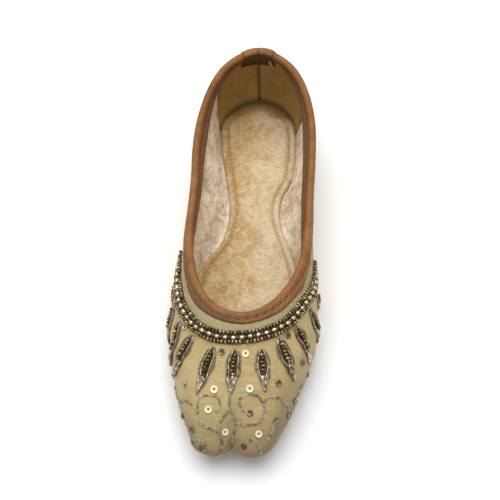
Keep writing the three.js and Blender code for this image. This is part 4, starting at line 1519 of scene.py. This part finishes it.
# Sequins: x, y, and the height where the silk is steep.
BRIGHT_SEQUINS = [(4.7, -77.0), (-11, -95.7), (8, -94.4), (-13.4, -105.6), (-3.9, -115.1), (14.1, -115.7)]
DARK_SEQUINS = [
    (-8.1, -76.8), (-21.6, -114.5), (23, -89.9), (26.6, -63.9), (22.8, -108.2),
    (6.6, -121.2, 19), (-15.6, -123.0, 17.5), (-28.2, -105.3, 16.5), (31.9, -93.4, 18.6), (8.9, -106.3),
    (35.2, -74.0, 26.6), (-38.5, -68, 22), (39.5, -76, 14), (-36.5, -80, 12),
    (28, -101.5, 18), (-40.5, -50, 14), (42.5, -44, 16),
]
SILVER_SEQUINS = [(-27.5, -91.3), (-29.9, -60.6, 35)]
SEQUIN_FORM = upright(turned([
    (0.03, 0.55), (0.1, 1.1), (0.25, 1.65), (0.42, 2.05), (0.52, 2.05), (0.38, 1.65), (0.22, 1.1),
    (0.15, 0.55),
], 20))
SEQUIN_BEAD = upright(turned(ring_profile(0.34, 0.26, 0.34, 6), 8))
SEQUIN_SHADES = (0, 0.2, 0.45)


def sequins():
    """Cupped sequins, each held by a small thread knot in its middle."""
    rng = random.Random(41)
    for name, table, finish, slot, size in (
        ("sequins_bright", BRIGHT_SEQUINS, SEQUIN, "gilt_sequin", 1.0),
        ("sequins_dark", DARK_SEQUINS, DULL_SEQUIN, "antique_gold", 0.88),
        ("sequins_silver", SILVER_SEQUINS, WIRE, "silver_metal", 0.92),
    ):
        places, middles = [], []
        for spot in table:
            point, normal = seat_below(*spot) if len(spot) == 2 else (v[0] for v in seat([spot]))
            ahead = unit(np.cross((1, 0, 0), normal))
            axes = tilted(np.stack([np.cross(ahead, normal), ahead, normal]), rng, 0.12)
            places.append((point + normal * 0.05, axes, size * rng.uniform(0.94, 1.06)))
            middles.append((point + normal * 0.2, axes, (0.85, 0.85, 0.6)))
        shades = [rng.choice(SEQUIN_SHADES) for _ in places]
        finished(copies(name, SEQUIN_FORM, places, finish, shades), slot)
        finished(copies(name + "_centres", SEQUIN_BEAD, middles, BROWN_THREAD), "thread")


# ---- Stage --------------------------------------------------------------------------------------

FLOOR_HALF = 4.0               # the stage is in metres
FLOOR_LOW = -0.0001
FLOOR_GREY = 0.95

KEY_PLACE = (-0.10, 0.38, 1.08)
KEY_AIM = (0, 0, 0.02)
KEY_SIZE = 1.7
KEY_POWER = 17.4
WORLD_STRENGTH = 0.50

# The pair was seen from in front and above, and this shoe lay left of the middle of the view.
VIEW_AZIMUTH = 3.4
VIEW_ELEVATION = 60
VIEW_DISTANCE = 0.68
PAIR_MIDDLE = (0.018, 0, 0.020)
SHOE_MIDDLE = (0.0005, -0.0015, 0.024)
LENS = 84
SENSOR = 36


def in_scene(thing):
    bpy.context.scene.collection.objects.link(thing)
    return thing


def floor_stage():
    """A wide pale floor just under the shoe, which belongs to the stage and not to the part."""
    f = Finish("pale_floor", 0.9, specular=0.1)
    f.shader.inputs["Base Color"].default_value = (FLOOR_GREY, FLOOR_GREY, FLOOR_GREY, 1)
    mesh = bpy.data.meshes.new("floor")
    corners = [(x * FLOOR_HALF, y * FLOOR_HALF, FLOOR_LOW) for x, y in ((-1, -1), (1, -1), (1, 1), (-1, 1))]
    mesh.from_pydata(corners, [], [(0, 1, 2, 3)])
    mesh.materials.append(f.material)
    floor = in_scene(bpy.data.objects.new("floor", mesh))


def lights():
    """One large soft light high behind the shoe, and a white world."""
    data = bpy.data.lights.new("softbox_key", "AREA")
    data.shape = "DISK"
    data.size = KEY_SIZE
    data.energy = KEY_POWER
    lamp = in_scene(bpy.data.objects.new("softbox_key", data))
    lamp.location = KEY_PLACE
    lamp.rotation_euler = (Vector(KEY_AIM) - Vector(KEY_PLACE)).to_track_quat("-Z", "Y").to_euler()
    world = bpy.data.worlds.new("studio")
    bpy.context.scene.world = world
    world.use_nodes = True
    background = world.node_tree.nodes["Background"]
    background.inputs["Color"].default_value = (1, 1, 1, 1)
    background.inputs["Strength"].default_value = WORLD_STRENGTH
    bpy.context.scene.view_settings.view_transform = "Standard"


def camera():
    """The camera keeps its place against the shoe and turns to frame it alone."""
    az, el = math.radians(VIEW_AZIMUTH), math.radians(VIEW_ELEVATION)
    back = Vector((math.sin(az) * math.cos(el), -math.cos(az) * math.cos(el), math.sin(el)))
    upward = Vector((-math.sin(az) * math.sin(el), math.cos(az) * math.sin(el), math.cos(el)))
    place = Vector(PAIR_MIDDLE) + Vector(SHIFT) + back * VIEW_DISTANCE
    ahead = (Vector(SHOE_MIDDLE) - place).normalized()
    right = ahead.cross(upward).normalized()
    turn = Matrix((right, right.cross(ahead), -ahead)).transposed()
    data = bpy.data.cameras.new("camera")
    data.lens = LENS
    data.sensor_width = SENSOR
    eye = in_scene(bpy.data.objects.new("camera", data))
    eye.matrix_world = Matrix.Translation(place) @ turn.to_4x4()
    bpy.context.scene.camera = eye


camera()
floor_stage()
lights()
velvet_lining()
sock()
heel_grip()
binding()
heel_tab()
outsole()
heel()
seams()
bead_rows()
sage_stitches()
leaves()
scrolls()
sequins()

bpy.context.view_layer.update()
